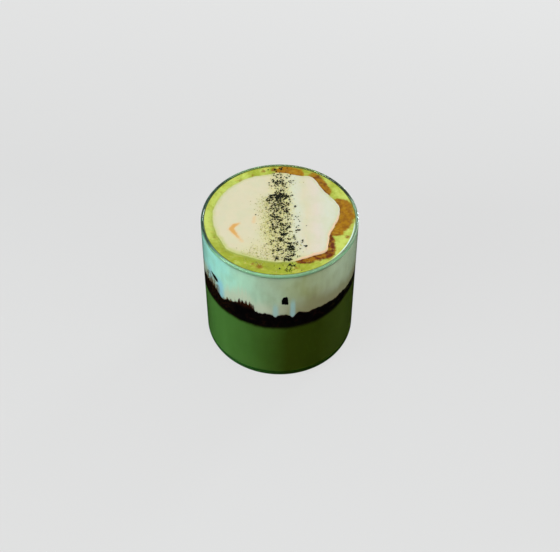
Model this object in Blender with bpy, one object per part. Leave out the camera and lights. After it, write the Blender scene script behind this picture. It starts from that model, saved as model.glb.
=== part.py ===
"""A layered iced drink in a straight glass tumbler: green tea, a band of dark coffee, and a thick cream.

The cream's top is ringed by a thin green wash with four coffee swirls in it, and a line of tea powder
is dusted across it. Metres, +Z up. The origin is the middle of the glass's foot, and the front is -Y.
"""

import math
import random

import bmesh
import bpy

# The tumbler
GLASS_RADIUS = 0.039
GLASS_HEIGHT = 0.079
WALL = 0.0014
BASE_THICKNESS = 0.0030
OUTER_CORNER = 0.0032
INNER_CORNER = 0.0030
FOOT_INNER_RADIUS = 0.0290
PUNT_RADIUS = 0.0270
PUNT_DEPTH = 0.0008

# Meshes hold 32-bit numbers, so neighbours keep this far apart
GAP = 0.0003

# The layers, as heights above the foot
DRINK_RADIUS = GLASS_RADIUS - WALL - GAP
DRINK_FLOOR = BASE_THICKNESS + GAP
TEA_TOP = 0.0405
COFFEE_TOP = 0.0498
SURFACE = GLASS_HEIGHT - 0.0008
WASH_DEPTH = 0.0013

# The cream's cap stands a little above the green wash round it, with a rolled edge. It isn't quite flat:
# it has a faint dome, one soft fold that runs front to back on the right, and a slow sway.
CAP_RISE = 0.0006
CAP_EDGE = 0.0006
CAP_ROLL = 0.0009
CAP_EDGE_TURN = 0.3
CAP_DOME = 0.0003
CAP_RINGS = (0.72, 0.36)
FOLD_X = 0.0165
FOLD_BREADTH = 0.0035
FOLD_RISE = 0.00018
SWAY_RISE = 0.00012
SWAY_ACROSS = 140.0
SWAY_ALONG = 90.0

# How many points each ring of the glass and of the drink has, and each arc of a profile
GLASS_SEGMENTS = 72
DRINK_SEGMENTS = 120
CORNER_POINTS = 4
LIP_POINTS = 7

# The cap's outline: (angle from +X in degrees, radius). The curve through them is smooth.
CAP_OUTLINE = (
    (0, 0.0290), (17, 0.0309), (31, 0.0297), (45, 0.0302), (61, 0.0336), (74, 0.0322),
    (90, 0.0328), (104, 0.0320), (120, 0.0330), (148, 0.0336), (180, 0.0334), (205, 0.0327),
    (220, 0.0332), (236, 0.0308), (252, 0.0297), (270, 0.0298), (290, 0.0293), (305, 0.0300),
    (316, 0.0314), (326, 0.0287), (337, 0.0267), (349, 0.0276),
)

# Coffee swirls in the wash: name, first and last angle in degrees, and widest breadth
SWIRLS = (
    ("coffee_swirl_back", 72.0, 92.0, 0.0036),
    ("coffee_swirl_back_right", 34.0, 64.0, 0.0045),
    ("coffee_swirl_right", -19.0, 27.0, 0.0068),
    ("coffee_swirl_front_right", -75.0, -25.0, 0.0040),
)
WASH_LEAST_WIDTH = 0.0008
WASH_CREEP = 0.0003
WASH_CREEP_START = 0.6
SWIRL_LEAST_WIDTH = 0.0007
SWIRL_CROWN = 0.0002
SWIRL_LOBES = 9.0
SWIRL_LOBE_DEPTH = 0.12

# Where the band of coffee thins because the tea below it rises: bearing from the front and half width
TEA_RISE = 0.0046
TEA_RISE_BEARING = 72.0
TEA_RISE_SPREAD = 52.0

# Fringes of coffee that climb into the cream: bearing, spread in degrees, points and height
FRINGES = (
    (-61, 9, 3, 0.0052),
    (-27, 8, 4, 0.0050),
    (118, 10, 4, 0.0038),
    (196, 9, 3, 0.0046),
)
# Runs of cream that hang into the coffee: bearing, half width in degrees and depth
RUNS = (
    (-47, 6.0, 0.0020),
    (-2.5, 3.0, 0.0012),
    (9, 3.0, 0.0022),
    (88, 4.0, 0.0016),
    (152, 5.0, 0.0020),
    (235, 4.5, 0.0018),
)
LEAST_FRINGE = 0.5
FRINGE_SWAY = 2.4
FRINGE_FOOT = 0.62
# Small ripples of the layers' edges: their height, then the waves round the drink and each one's phase
RIPPLE = 0.00022
TEA_RIPPLES = ((5, 1.0),)
COFFEE_RIPPLES = ((17, 0.0), (29, 2.0))
# The rings of a face between two layers: their share of the radius, and of the height shown at the glass
FACE_RINGS = ((1.0, 1.0), (0.955, 0.42), (0.84, 0.0))

# Pockets of coffee caught between the cream and the glass: name, bearing, height, width, tallness, depth
POCKETS = (
    ("coffee_pocket_front", 3.8, 0.0609, 0.0029, 0.0054, 0.0016),
    ("coffee_pocket_left", -54.5, 0.0592, 0.0046, 0.0026, 0.0014),
)
POCKET_POINTS = 12
POCKET_SQUARENESS = 0.6
POCKET_SHOULDER = 0.6

# The line of tea powder: its ends on the cap, its breadth, and the lumps that stand up from it
POWDER_BACK = (-0.0005, 0.0290)
POWDER_FRONT = (0.0058, -0.0272)
POWDER_SPREAD = 0.0026
LUMPS = 62
LUMP_SMALL = 0.00032
LUMP_LARGE = 0.00070
LUMP_UNEVENNESS = 0.18
THICK_SPOT = 0.26
THICK_SPOT_SPREAD = 0.06
THICK_SPOT_EVERY = 4
LUMP_EDGE = 0.0018

RANDOM_SEED = 7


def clear_scene():
    """Removes whatever the file opened with."""
    for obj in list(bpy.data.objects):
        bpy.data.objects.remove(obj)


def material(name, colour, roughness, transmission=0.0):
    """A plain finish of this colour."""
    made = bpy.data.materials.new(name)
    made.use_nodes = True
    shader = made.node_tree.nodes["Principled BSDF"]
    shader.inputs["Base Color"].default_value = (*colour, 1.0)
    shader.inputs["Roughness"].default_value = roughness
    shader.inputs["Metallic"].default_value = 0.0
    shader.inputs["Transmission Weight"].default_value = transmission
    return made


def add_object(name, mesh, finish, parent):
    """Links a mesh into the scene as one named sub-part."""
    mesh.materials.append(finish)
    obj = bpy.data.objects.new(name, mesh)
    obj.parent = parent
    bpy.context.scene.collection.objects.link(obj)
    return obj


def smooth(obj, sharp_degrees=35):
    """Shades the round faces smooth and keeps the real edges."""
    obj.data.shade_smooth()
    obj.data.set_sharp_from_angle(angle=math.radians(sharp_degrees))


def arc(centre_r, centre_z, radius, start, end, points=CORNER_POINTS):
    """Points of an arc in the profile plane, with its angles in degrees."""
    angles = [math.radians(start + (end - start) * i / (points - 1)) for i in range(points)]
    return [(centre_r + radius * math.cos(a), centre_z + radius * math.sin(a)) for a in angles]


def build_glass(finish, parent):
    """The tumbler, turned from one profile: inner floor, inner wall, round lip, outer wall and foot."""
    inner_radius = GLASS_RADIUS - WALL
    lip = WALL / 2
    profile = [(0.0, BASE_THICKNESS)]
    profile += arc(inner_radius - INNER_CORNER, BASE_THICKNESS + INNER_CORNER, INNER_CORNER, -90, 0)
    profile += arc(GLASS_RADIUS - lip, GLASS_HEIGHT - lip, lip, 180, 0, LIP_POINTS)
    profile += arc(GLASS_RADIUS - OUTER_CORNER, OUTER_CORNER, OUTER_CORNER, 0, -90)
    profile += [(FOOT_INNER_RADIUS, 0.0), (PUNT_RADIUS, PUNT_DEPTH), (0.0, PUNT_DEPTH)]
    mesh = bpy.data.meshes.new("glass")
    edges = [(i, i + 1) for i in range(len(profile) - 1)]
    mesh.from_pydata([(r, 0.0, z) for r, z in profile], edges, [])
    obj = add_object("glass", mesh, finish, parent)
    turn = obj.modifiers.new("Turn", "SCREW")
    turn.steps = GLASS_SEGMENTS
    turn.render_steps = GLASS_SEGMENTS
    turn.use_merge_vertices = True
    turn.merge_threshold = 1e-5
    turn.use_smooth_shade = True
    return obj


def bearing_of(angle):
    """Degrees from the front, positive to the right, of an angle from +X in radians."""
    return (math.degrees(angle) + 90.0 + 180.0) % 360.0 - 180.0


def apart(first, second):
    """The unsigned difference between two bearings, in degrees."""
    return abs((first - second + 180.0) % 360.0 - 180.0)


def bump(distance, half_width):
    """1 at the middle and 0 beyond half_width, with a round top and soft feet."""
    if distance >= half_width:
        return 0.0
    return 0.5 + 0.5 * math.cos(math.pi * distance / half_width)


def ring_angles():
    """The angles of a ring's points, from +X."""
    return [math.tau * i / DRINK_SEGMENTS for i in range(DRINK_SEGMENTS)]


def ripple(angle, waves):
    """A small uneven rise and fall round the drink."""
    return RIPPLE * sum(math.sin(count * angle + phase) for count, phase in waves)


def tea_top_at_wall(angle):
    """The height of the tea's upper edge against the glass."""
    bearing = bearing_of(angle)
    rise = TEA_RISE * bump(apart(bearing, TEA_RISE_BEARING), TEA_RISE_SPREAD)
    return TEA_TOP + rise + ripple(angle, TEA_RIPPLES)


def fringe_height(bearing):
    """How far the coffee's fringes climb at this bearing: a row of points of uneven height."""
    height = 0.0
    for centre, spread, points, tallest in FRINGES:
        pitch = 2.0 * spread / points
        for i in range(points):
            tip = centre - spread + pitch * (i + 0.5)
            share = LEAST_FRINGE + (1.0 - LEAST_FRINGE) * math.cos(FRINGE_SWAY * i + centre) ** 2
            slope = 1.0 - apart(bearing, tip) / (FRINGE_FOOT * pitch)
            height = max(height, tallest * share * max(slope, 0.0))
    return height


def coffee_top_at_wall(angle):
    """The height of the coffee's upper edge against the glass, with its fringes and the cream's runs."""
    bearing = bearing_of(angle)
    runs = sum(depth * bump(apart(bearing, centre), half) for centre, half, depth in RUNS)
    return COFFEE_TOP + fringe_height(bearing) - runs + ripple(angle, COFFEE_RIPPLES)


def face_rings(at_wall, level, offset=0.0):
    """The rings of a layer's face, outermost first: shaped by at_wall at the glass, and level further in."""
    rings = []
    for fraction, share in FACE_RINGS:
        ring = []
        for angle in ring_angles():
            radius = DRINK_RADIUS * fraction
            height = level + (at_wall(angle) - level) * share + offset
            ring.append((radius * math.cos(angle), radius * math.sin(angle), height))
        rings.append(ring)
    return rings


def flat_ring(radius_at, height):
    """A level ring, whose radius is a function of the angle."""
    points = []
    for angle in ring_angles():
        radius = radius_at(angle)
        points.append((radius * math.cos(angle), radius * math.sin(angle), height))
    return points


def round_ring(radius, height):
    """A level ring of one radius."""
    return flat_ring(lambda angle: radius, height)


def loft(name, rings, bottom, top):
    """A closed mesh through rings from the middle of the underside, out and up to the middle of the top."""
    work = bmesh.new()
    low = work.verts.new((0.0, 0.0, bottom))
    high = work.verts.new((0.0, 0.0, top))
    loops = [[work.verts.new(point) for point in ring] for ring in rings]
    count = len(rings[0])
    for i in range(count):
        j = (i + 1) % count
        work.faces.new((low, loops[0][j], loops[0][i]))
        for first, second in zip(loops, loops[1:]):
            # Two layers that meet split their faces alike, so the gap between them is the same all over
            if math.hypot(*first[i].co.xy) > math.hypot(*second[i].co.xy) + 1e-6:
                work.faces.new((second[i], first[i], first[j]))
                work.faces.new((second[i], first[j], second[j]))
            else:
                work.faces.new((first[i], second[j], second[i]))
                work.faces.new((first[i], first[j], second[j]))
        work.faces.new((loops[-1][i], loops[-1][j], high))
    bmesh.ops.recalc_face_normals(work, faces=work.faces)
    mesh = bpy.data.meshes.new(name)
    work.to_mesh(mesh)
    work.free()
    return mesh


def build_tea(finish, parent):
    """The green tea, from the glass's floor up to the coffee."""
    corner = arc(DRINK_RADIUS - INNER_CORNER, DRINK_FLOOR + INNER_CORNER, INNER_CORNER, -90, 0)
    rings = [round_ring(r, z) for r, z in corner]
    rings += face_rings(tea_top_at_wall, TEA_TOP)
    obj = add_object("matcha", loft("matcha", rings, DRINK_FLOOR, TEA_TOP), finish, parent)
    smooth(obj)
    return obj


def build_coffee(finish, parent):
    """The band of coffee, which runs right through the drink."""
    rings = face_rings(tea_top_at_wall, TEA_TOP, GAP)[::-1] + face_rings(coffee_top_at_wall, COFFEE_TOP)
    obj = add_object("coffee", loft("coffee", rings, TEA_TOP + GAP, COFFEE_TOP), finish, parent)
    smooth(obj)
    return obj


def cap_radius(angle):
    """The cap's outline, by a smooth periodic curve through CAP_OUTLINE."""
    degrees = math.degrees(angle) % 360.0
    count = len(CAP_OUTLINE)
    last = max(i for i in range(count) if CAP_OUTLINE[i][0] <= degrees)
    here = [CAP_OUTLINE[(last + step) % count] for step in (-1, 0, 1, 2)]
    span = (here[2][0] - here[1][0]) % 360.0
    t = ((degrees - here[1][0]) % 360.0) / span
    slopes = []
    for before, after in ((here[0], here[2]), (here[1], here[3])):
        slopes.append((after[1] - before[1]) / ((after[0] - before[0]) % 360.0) * span)
    start, end = here[1][1], here[2][1]
    return (
        (2 * t**3 - 3 * t**2 + 1) * start
        + (t**3 - 2 * t**2 + t) * slopes[0]
        + (3 * t**2 - 2 * t**3) * end
        + (t**3 - t**2) * slopes[1]
    )


def cap_height(x, y):
    """The cap's upper face: a faint dome with one soft fold on its right side."""
    dome = CAP_DOME * (1.0 - (x * x + y * y) / DRINK_RADIUS**2)
    fold = FOLD_RISE * math.exp(-(((x - FOLD_X) / FOLD_BREADTH) ** 2))
    sway = SWAY_RISE * math.sin(SWAY_ACROSS * x + SWAY_ALONG * y)
    return SURFACE + CAP_RISE + dome + fold + sway


def cap_ring(inset, fraction, drop):
    """A ring of the cap's upper face, inset from its outline, then shrunk, and lowered by drop."""
    points = []
    for angle in ring_angles():
        radius = (cap_radius(angle) - inset) * fraction
        x, y = radius * math.cos(angle), radius * math.sin(angle)
        points.append((x, y, cap_height(x, y) - drop))
    return points


def pocket_mesh(name, bearing, height, width, tall, depth, margin):
    """A pillow of coffee whose outer face lies on the drink's wall; margin swells it into its cutter."""
    middle = math.radians(bearing - 90.0)
    work = bmesh.new()
    faces = (
        (DRINK_RADIUS + 2 * margin, 1.0),
        (DRINK_RADIUS - POCKET_SHOULDER * depth - margin, 1.0),
        (DRINK_RADIUS - depth - margin, POCKET_SHOULDER),
    )
    loops = []
    for radius, share in faces:
        loop = []
        for i in range(POCKET_POINTS):
            turn = math.tau * (i + 0.5) / POCKET_POINTS
            across = math.copysign(abs(math.cos(turn)) ** POCKET_SQUARENESS, math.cos(turn))
            up = math.copysign(abs(math.sin(turn)) ** POCKET_SQUARENESS, math.sin(turn))
            angle = middle + (width / 2 + margin) * across * share / DRINK_RADIUS
            z = height + (tall / 2 + margin) * up * share
            loop.append(work.verts.new((radius * math.cos(angle), radius * math.sin(angle), z)))
        loops.append(loop)
    for outer, inner in zip(loops, loops[1:]):
        for i in range(POCKET_POINTS):
            j = (i + 1) % POCKET_POINTS
            work.faces.new((outer[i], outer[j], inner[j], inner[i]))
    work.faces.new(loops[0])
    work.faces.new(loops[-1])
    bmesh.ops.recalc_face_normals(work, faces=work.faces)
    mesh = bpy.data.meshes.new(name)
    work.to_mesh(mesh)
    work.free()
    return mesh


def build_pockets(finish, parent):
    """The pockets of coffee behind the glass, and the cutters that make room for them in the cream."""
    cutters = []
    for name, *place in POCKETS:
        piece = add_object(name, pocket_mesh(name, *place, margin=0.0), finish, parent)
        smooth(piece, sharp_degrees=60)
        mould = pocket_mesh(name + "_cutter", *place, margin=GAP)
        cutter = add_object(name + "_cutter", mould, finish, parent)
        cutter.hide_render = True
        cutter.display_type = "WIRE"
        cutters.append(cutter)
    return cutters


def lump_places():
    """Where the lumps of powder stand, and their radii, the largest first."""
    draw = random.Random(RANDOM_SEED)
    (x0, y0), (x1, y1) = POWDER_BACK, POWDER_FRONT
    places = []
    while len(places) < LUMPS:
        share = len(places) / LUMPS
        radius = LUMP_LARGE + (LUMP_SMALL - LUMP_LARGE) * share
        thick = len(places) % THICK_SPOT_EVERY == 0
        along = draw.gauss(THICK_SPOT, THICK_SPOT_SPREAD) if thick else draw.uniform(0.0, 1.0)
        x = x0 + (x1 - x0) * along + draw.gauss(0.0, POWDER_SPREAD)
        y = y0 + (y1 - y0) * along
        if math.hypot(x, y) > cap_radius(math.atan2(y, x)) - LUMP_EDGE:
            continue
        if any(math.hypot(x - px, y - py) < radius + pr + GAP for px, py, pr in places):
            continue
        places.append((x, y, radius))
    return places


def fuse_powder(cream, finish):
    """Joins the lumps of powder to the cream's cap with one union, and removes the loose ones."""
    draw = random.Random(RANDOM_SEED + 1)
    collection = bpy.data.collections.new("powder_lumps")
    bpy.context.scene.collection.children.link(collection)
    for i, (x, y, radius) in enumerate(lump_places()):
        work = bmesh.new()
        bmesh.ops.create_icosphere(work, subdivisions=1, radius=radius)
        for vertex in work.verts:
            vertex.co *= draw.uniform(1.0 - LUMP_UNEVENNESS, 1.0 + LUMP_UNEVENNESS)
        mesh = bpy.data.meshes.new(f"lump_{i}")
        work.to_mesh(mesh)
        work.free()
        mesh.materials.append(finish)
        lump = bpy.data.objects.new(f"lump_{i}", mesh)
        lump.location = (x, y, cap_height(x, y))
        lump.rotation_euler = [draw.uniform(0.0, math.tau) for _ in range(3)]
        collection.objects.link(lump)
    apply_boolean(cream, "UNION", collection=collection)
    for lump in list(collection.objects):
        bpy.data.objects.remove(lump)
    bpy.data.collections.remove(collection)


def apply_boolean(obj, operation, cutter=None, collection=None):
    """Cuts or joins with the exact solver, and makes the result the object's own mesh."""
    modifier = obj.modifiers.new("Boolean", "BOOLEAN")
    modifier.operation = operation
    modifier.solver = "EXACT"
    if collection is not None:
        modifier.operand_type = "COLLECTION"
        modifier.collection = collection
    else:
        modifier.object = cutter
    bpy.context.view_layer.update()
    evaluated = obj.evaluated_get(bpy.context.evaluated_depsgraph_get())
    result = bpy.data.meshes.new_from_object(evaluated)
    obj.modifiers.remove(modifier)
    obj.data = result


def build_cream(finish, parent, cutters, powder_finish):
    """The cream, from the coffee up to its proud cap, with a ledge round the cap for the green wash."""
    ledge = SURFACE - WASH_DEPTH - GAP
    rings = face_rings(coffee_top_at_wall, COFFEE_TOP, GAP)[::-1]
    rings += [round_ring(DRINK_RADIUS, ledge), flat_ring(cap_radius, ledge)]
    rings += [cap_ring(0.0, 1.0, CAP_ROLL), cap_ring(CAP_EDGE_TURN * CAP_EDGE, 1.0, CAP_EDGE_TURN * CAP_ROLL)]
    rings += [cap_ring(CAP_EDGE, fraction, 0.0) for fraction in (1.0, *CAP_RINGS)]
    mesh = loft("cream", rings, COFFEE_TOP + GAP, cap_height(0.0, 0.0))
    obj = add_object("cream", mesh, finish, parent)
    for cutter in cutters:
        apply_boolean(obj, "DIFFERENCE", cutter=cutter)
    fuse_powder(obj, powder_finish)
    smooth(obj)
    return obj


def swirl_breadth(angle, start, end, breadth):
    """How wide a swirl is at this angle: nothing at its ends, and lobed between them."""
    middle, half = (start + end) / 2, (end - start) / 2
    share = abs(((math.degrees(angle) - middle + 180.0) % 360.0 - 180.0) / half)
    if share >= 1.0:
        return 0.0
    lobes = 1.0 - SWIRL_LOBE_DEPTH * (0.5 - 0.5 * math.cos(SWIRL_LOBES * angle + start))
    return breadth * lobes * (1.0 - share**3) ** 0.5


def swirl_limits(angle, start, end, breadth):
    """A swirl's inner and outer radius at this angle, clear of the cap and leaving room for the wash."""
    inner = cap_radius(angle) + GAP
    room = DRINK_RADIUS - WASH_LEAST_WIDTH - GAP - inner
    return inner, inner + min(swirl_breadth(angle, start, end, breadth), room)


def wash_inner_radius(angle):
    """The wash's inner edge: against the cap, or outside a swirl."""
    inner = cap_radius(angle) + GAP
    for _, start, end, breadth in SWIRLS:
        low, high = swirl_limits(angle, start, end, breadth)
        if high - low > 0.0:
            inner = max(inner, high + GAP)
    return inner


def wash_radius(angle, share):
    """A radius in the wash: its inner edge at a share of 0, and its outer edge at 1."""
    inner = wash_inner_radius(angle)
    return inner + (DRINK_RADIUS - inner) * share


def build_wash(finish, parent):
    """The ring of thin green wash on the ledge, creeping up the glass at its outer edge."""
    floor = SURFACE - WASH_DEPTH
    edge = ((1.0, floor), (1.0, SURFACE + WASH_CREEP), (WASH_CREEP_START, SURFACE))
    section = ((0.0, floor), *edge, (0.0, SURFACE))
    rings = []
    for share, height in section:
        rings.append(flat_ring(lambda angle: wash_radius(angle, share), height))
    work = bmesh.new()
    loops = [[work.verts.new(point) for point in points] for points in rings]
    for first, second in zip(loops, loops[1:] + loops[:1]):
        for i in range(DRINK_SEGMENTS):
            j = (i + 1) % DRINK_SEGMENTS
            work.faces.new((first[i], first[j], second[j], second[i]))
    bmesh.ops.recalc_face_normals(work, faces=work.faces)
    mesh = bpy.data.meshes.new("matcha_wash")
    work.to_mesh(mesh)
    work.free()
    obj = add_object("matcha_wash", mesh, finish, parent)
    smooth(obj)
    return obj


def build_swirl(name, start, end, breadth, finish, parent):
    """One swirl of coffee lying in the wash, against the cap."""
    floor = SURFACE - WASH_DEPTH
    work = bmesh.new()
    slices = []
    for angle in ring_angles() + [math.tau]:
        for turn in (0.0, -math.tau):
            low, high = swirl_limits(angle, start, end, breadth)
            inside = start < math.degrees(angle + turn) < end
            if not inside or high - low < SWIRL_LEAST_WIDTH:
                continue
            middle = (low + high) / 2
            top = ((high, SURFACE), (middle, SURFACE + SWIRL_CROWN), (low, SURFACE))
            slices.append((angle + turn, ((low, floor), (high, floor), *top)))
    slices = sorted({round(a, 6): c for a, c in slices}.items())
    loops = []
    for angle, corners in slices:
        loops.append([work.verts.new((r * math.cos(angle), r * math.sin(angle), z)) for r, z in corners])
    for first, second in zip(loops, loops[1:]):
        for i in range(len(first)):
            j = (i + 1) % len(first)
            work.faces.new((first[i], first[j], second[j], second[i]))
    work.faces.new(loops[0])
    work.faces.new(loops[-1])
    bmesh.ops.recalc_face_normals(work, faces=work.faces)
    mesh = bpy.data.meshes.new(name)
    work.to_mesh(mesh)
    work.free()
    obj = add_object(name, mesh, finish, parent)
    smooth(obj)
    return obj


def main():
    """Builds every sub-part under one empty at the middle of the foot."""
    clear_scene()
    root = bpy.data.objects.new("drink", None)
    bpy.context.scene.collection.objects.link(root)

    clear_glass = material("clear_glass", (0.86, 0.95, 0.90), 0.02, transmission=1.0)
    green_tea = material("green_tea", (0.045, 0.125, 0.022), 0.35)
    dark_coffee = material("dark_coffee", (0.010, 0.006, 0.004), 0.30)
    pale_cream = material("pale_cream", (0.72, 0.66, 0.50), 0.45)
    green_wash = material("green_wash", (0.42, 0.48, 0.06), 0.30)
    brown_swirl = material("brown_swirl", (0.34, 0.13, 0.012), 0.30)
    tea_powder = material("tea_powder", (0.020, 0.028, 0.008), 0.90)

    build_glass(clear_glass, root)
    build_tea(green_tea, root)
    build_coffee(dark_coffee, root)
    cutters = build_pockets(dark_coffee, root)
    build_cream(pale_cream, root, cutters, tea_powder)
    for cutter in cutters:
        bpy.data.objects.remove(cutter)
    build_wash(green_wash, root)
    for name, start, end, breadth in SWIRLS:
        build_swirl(name, start, end, breadth, brown_swirl, root)


main()
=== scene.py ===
"""Looks of a layered iced drink in a straight glass tumbler: tea, coffee, cream and a dusting of tea powder.

Lengths are in metres unless a name, a comment or a docstring says millimetres. +Z is up and the front is -Y.
Angles run from +X, and bearings run from the front, positive to the right.
"""

import logging
import math
from dataclasses import dataclass
from enum import Enum
from typing import Sequence

import bmesh
import bpy
import numpy as np
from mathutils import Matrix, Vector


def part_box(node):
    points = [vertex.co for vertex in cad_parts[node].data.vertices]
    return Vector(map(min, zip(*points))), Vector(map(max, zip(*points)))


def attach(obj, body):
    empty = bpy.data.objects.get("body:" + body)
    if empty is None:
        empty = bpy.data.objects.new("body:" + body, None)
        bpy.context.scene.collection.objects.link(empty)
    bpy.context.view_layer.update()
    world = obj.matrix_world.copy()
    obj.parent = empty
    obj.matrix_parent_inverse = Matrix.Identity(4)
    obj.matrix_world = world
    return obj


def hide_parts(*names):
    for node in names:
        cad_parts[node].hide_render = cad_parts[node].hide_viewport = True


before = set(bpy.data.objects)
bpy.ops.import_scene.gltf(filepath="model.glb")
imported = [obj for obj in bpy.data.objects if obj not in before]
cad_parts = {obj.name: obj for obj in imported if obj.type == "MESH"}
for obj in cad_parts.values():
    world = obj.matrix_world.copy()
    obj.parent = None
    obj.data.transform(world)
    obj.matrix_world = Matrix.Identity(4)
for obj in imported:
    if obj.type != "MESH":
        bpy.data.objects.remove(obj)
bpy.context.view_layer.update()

LOG = logging.getLogger("drink")
Array = np.ndarray
Colour = tuple[float, float, float]
Socket = bpy.types.NodeSocket
Number = Socket | float
MM = 0.001
# Liquid that wets the glass has no surface of its own to shine
BEHIND_GLASS_GLOSS = 0.0


def srgb(red: int, green: int, blue: int) -> Colour:
    """A colour as a shader wants it, from its 0 to 255 screen values."""
    shares = [channel / 255.0 for channel in (red, green, blue)]
    return tuple(s / 12.92 if s <= 0.04045 else ((s + 0.055) / 1.055) ** 2.4 for s in shares)


def grey(level: float) -> Colour:
    """A neutral grey of this brightness."""
    return (level, level, level)


def bearing_of(angle: Array) -> Array:
    """Degrees from the front, positive to the right, of angles from +X in radians."""
    return (np.degrees(angle) + 270.0) % 360.0 - 180.0


def apart(first: Array, second: float) -> Array:
    """The unsigned difference between bearings, in degrees."""
    return np.abs((first - second + 180.0) % 360.0 - 180.0)


def bump(distance: Array, half_width: float) -> Array:
    """1 at the middle and 0 beyond half_width, with a round top and soft feet."""
    return np.where(distance < half_width, 0.5 + 0.5 * np.cos(math.pi * distance / half_width), 0.0)


def smoothstep(value: Array, low: float, high: float) -> Array:
    """0 below low, 1 above high, and a smooth rise between them."""
    share = np.clip((value - low) / (high - low), 0.0, 1.0)
    return share * share * (3.0 - 2.0 * share)


def plateau(value: Array, start: float, full: float, waning: float, end: float) -> Array:
    """1 from full to waning, 0 before start and after end, and smooth between them."""
    return smoothstep(value, start, full) * (1.0 - smoothstep(value, waning, end))


def degrees_of(x: Array, y: Array) -> Array:
    """The angle from +X of these points, from 0 to 360 degrees."""
    return np.degrees(np.arctan2(y, x)) % 360.0


def polar(radius: Array, angle: Array, height: Array) -> Array:
    """Points at these radii, angles and heights, one to a row."""
    return np.stack([radius * np.cos(angle), radius * np.sin(angle), height], axis=1)


class Blend(Enum):
    """The ways in which one colour is laid over another."""

    MIX = "MIX"
    MULTIPLY = "MULTIPLY"


class Maths(Enum):
    """The sums that the finishes use."""

    ADD = "ADD"
    SUBTRACT = "SUBTRACT"
    MULTIPLY = "MULTIPLY"


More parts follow.
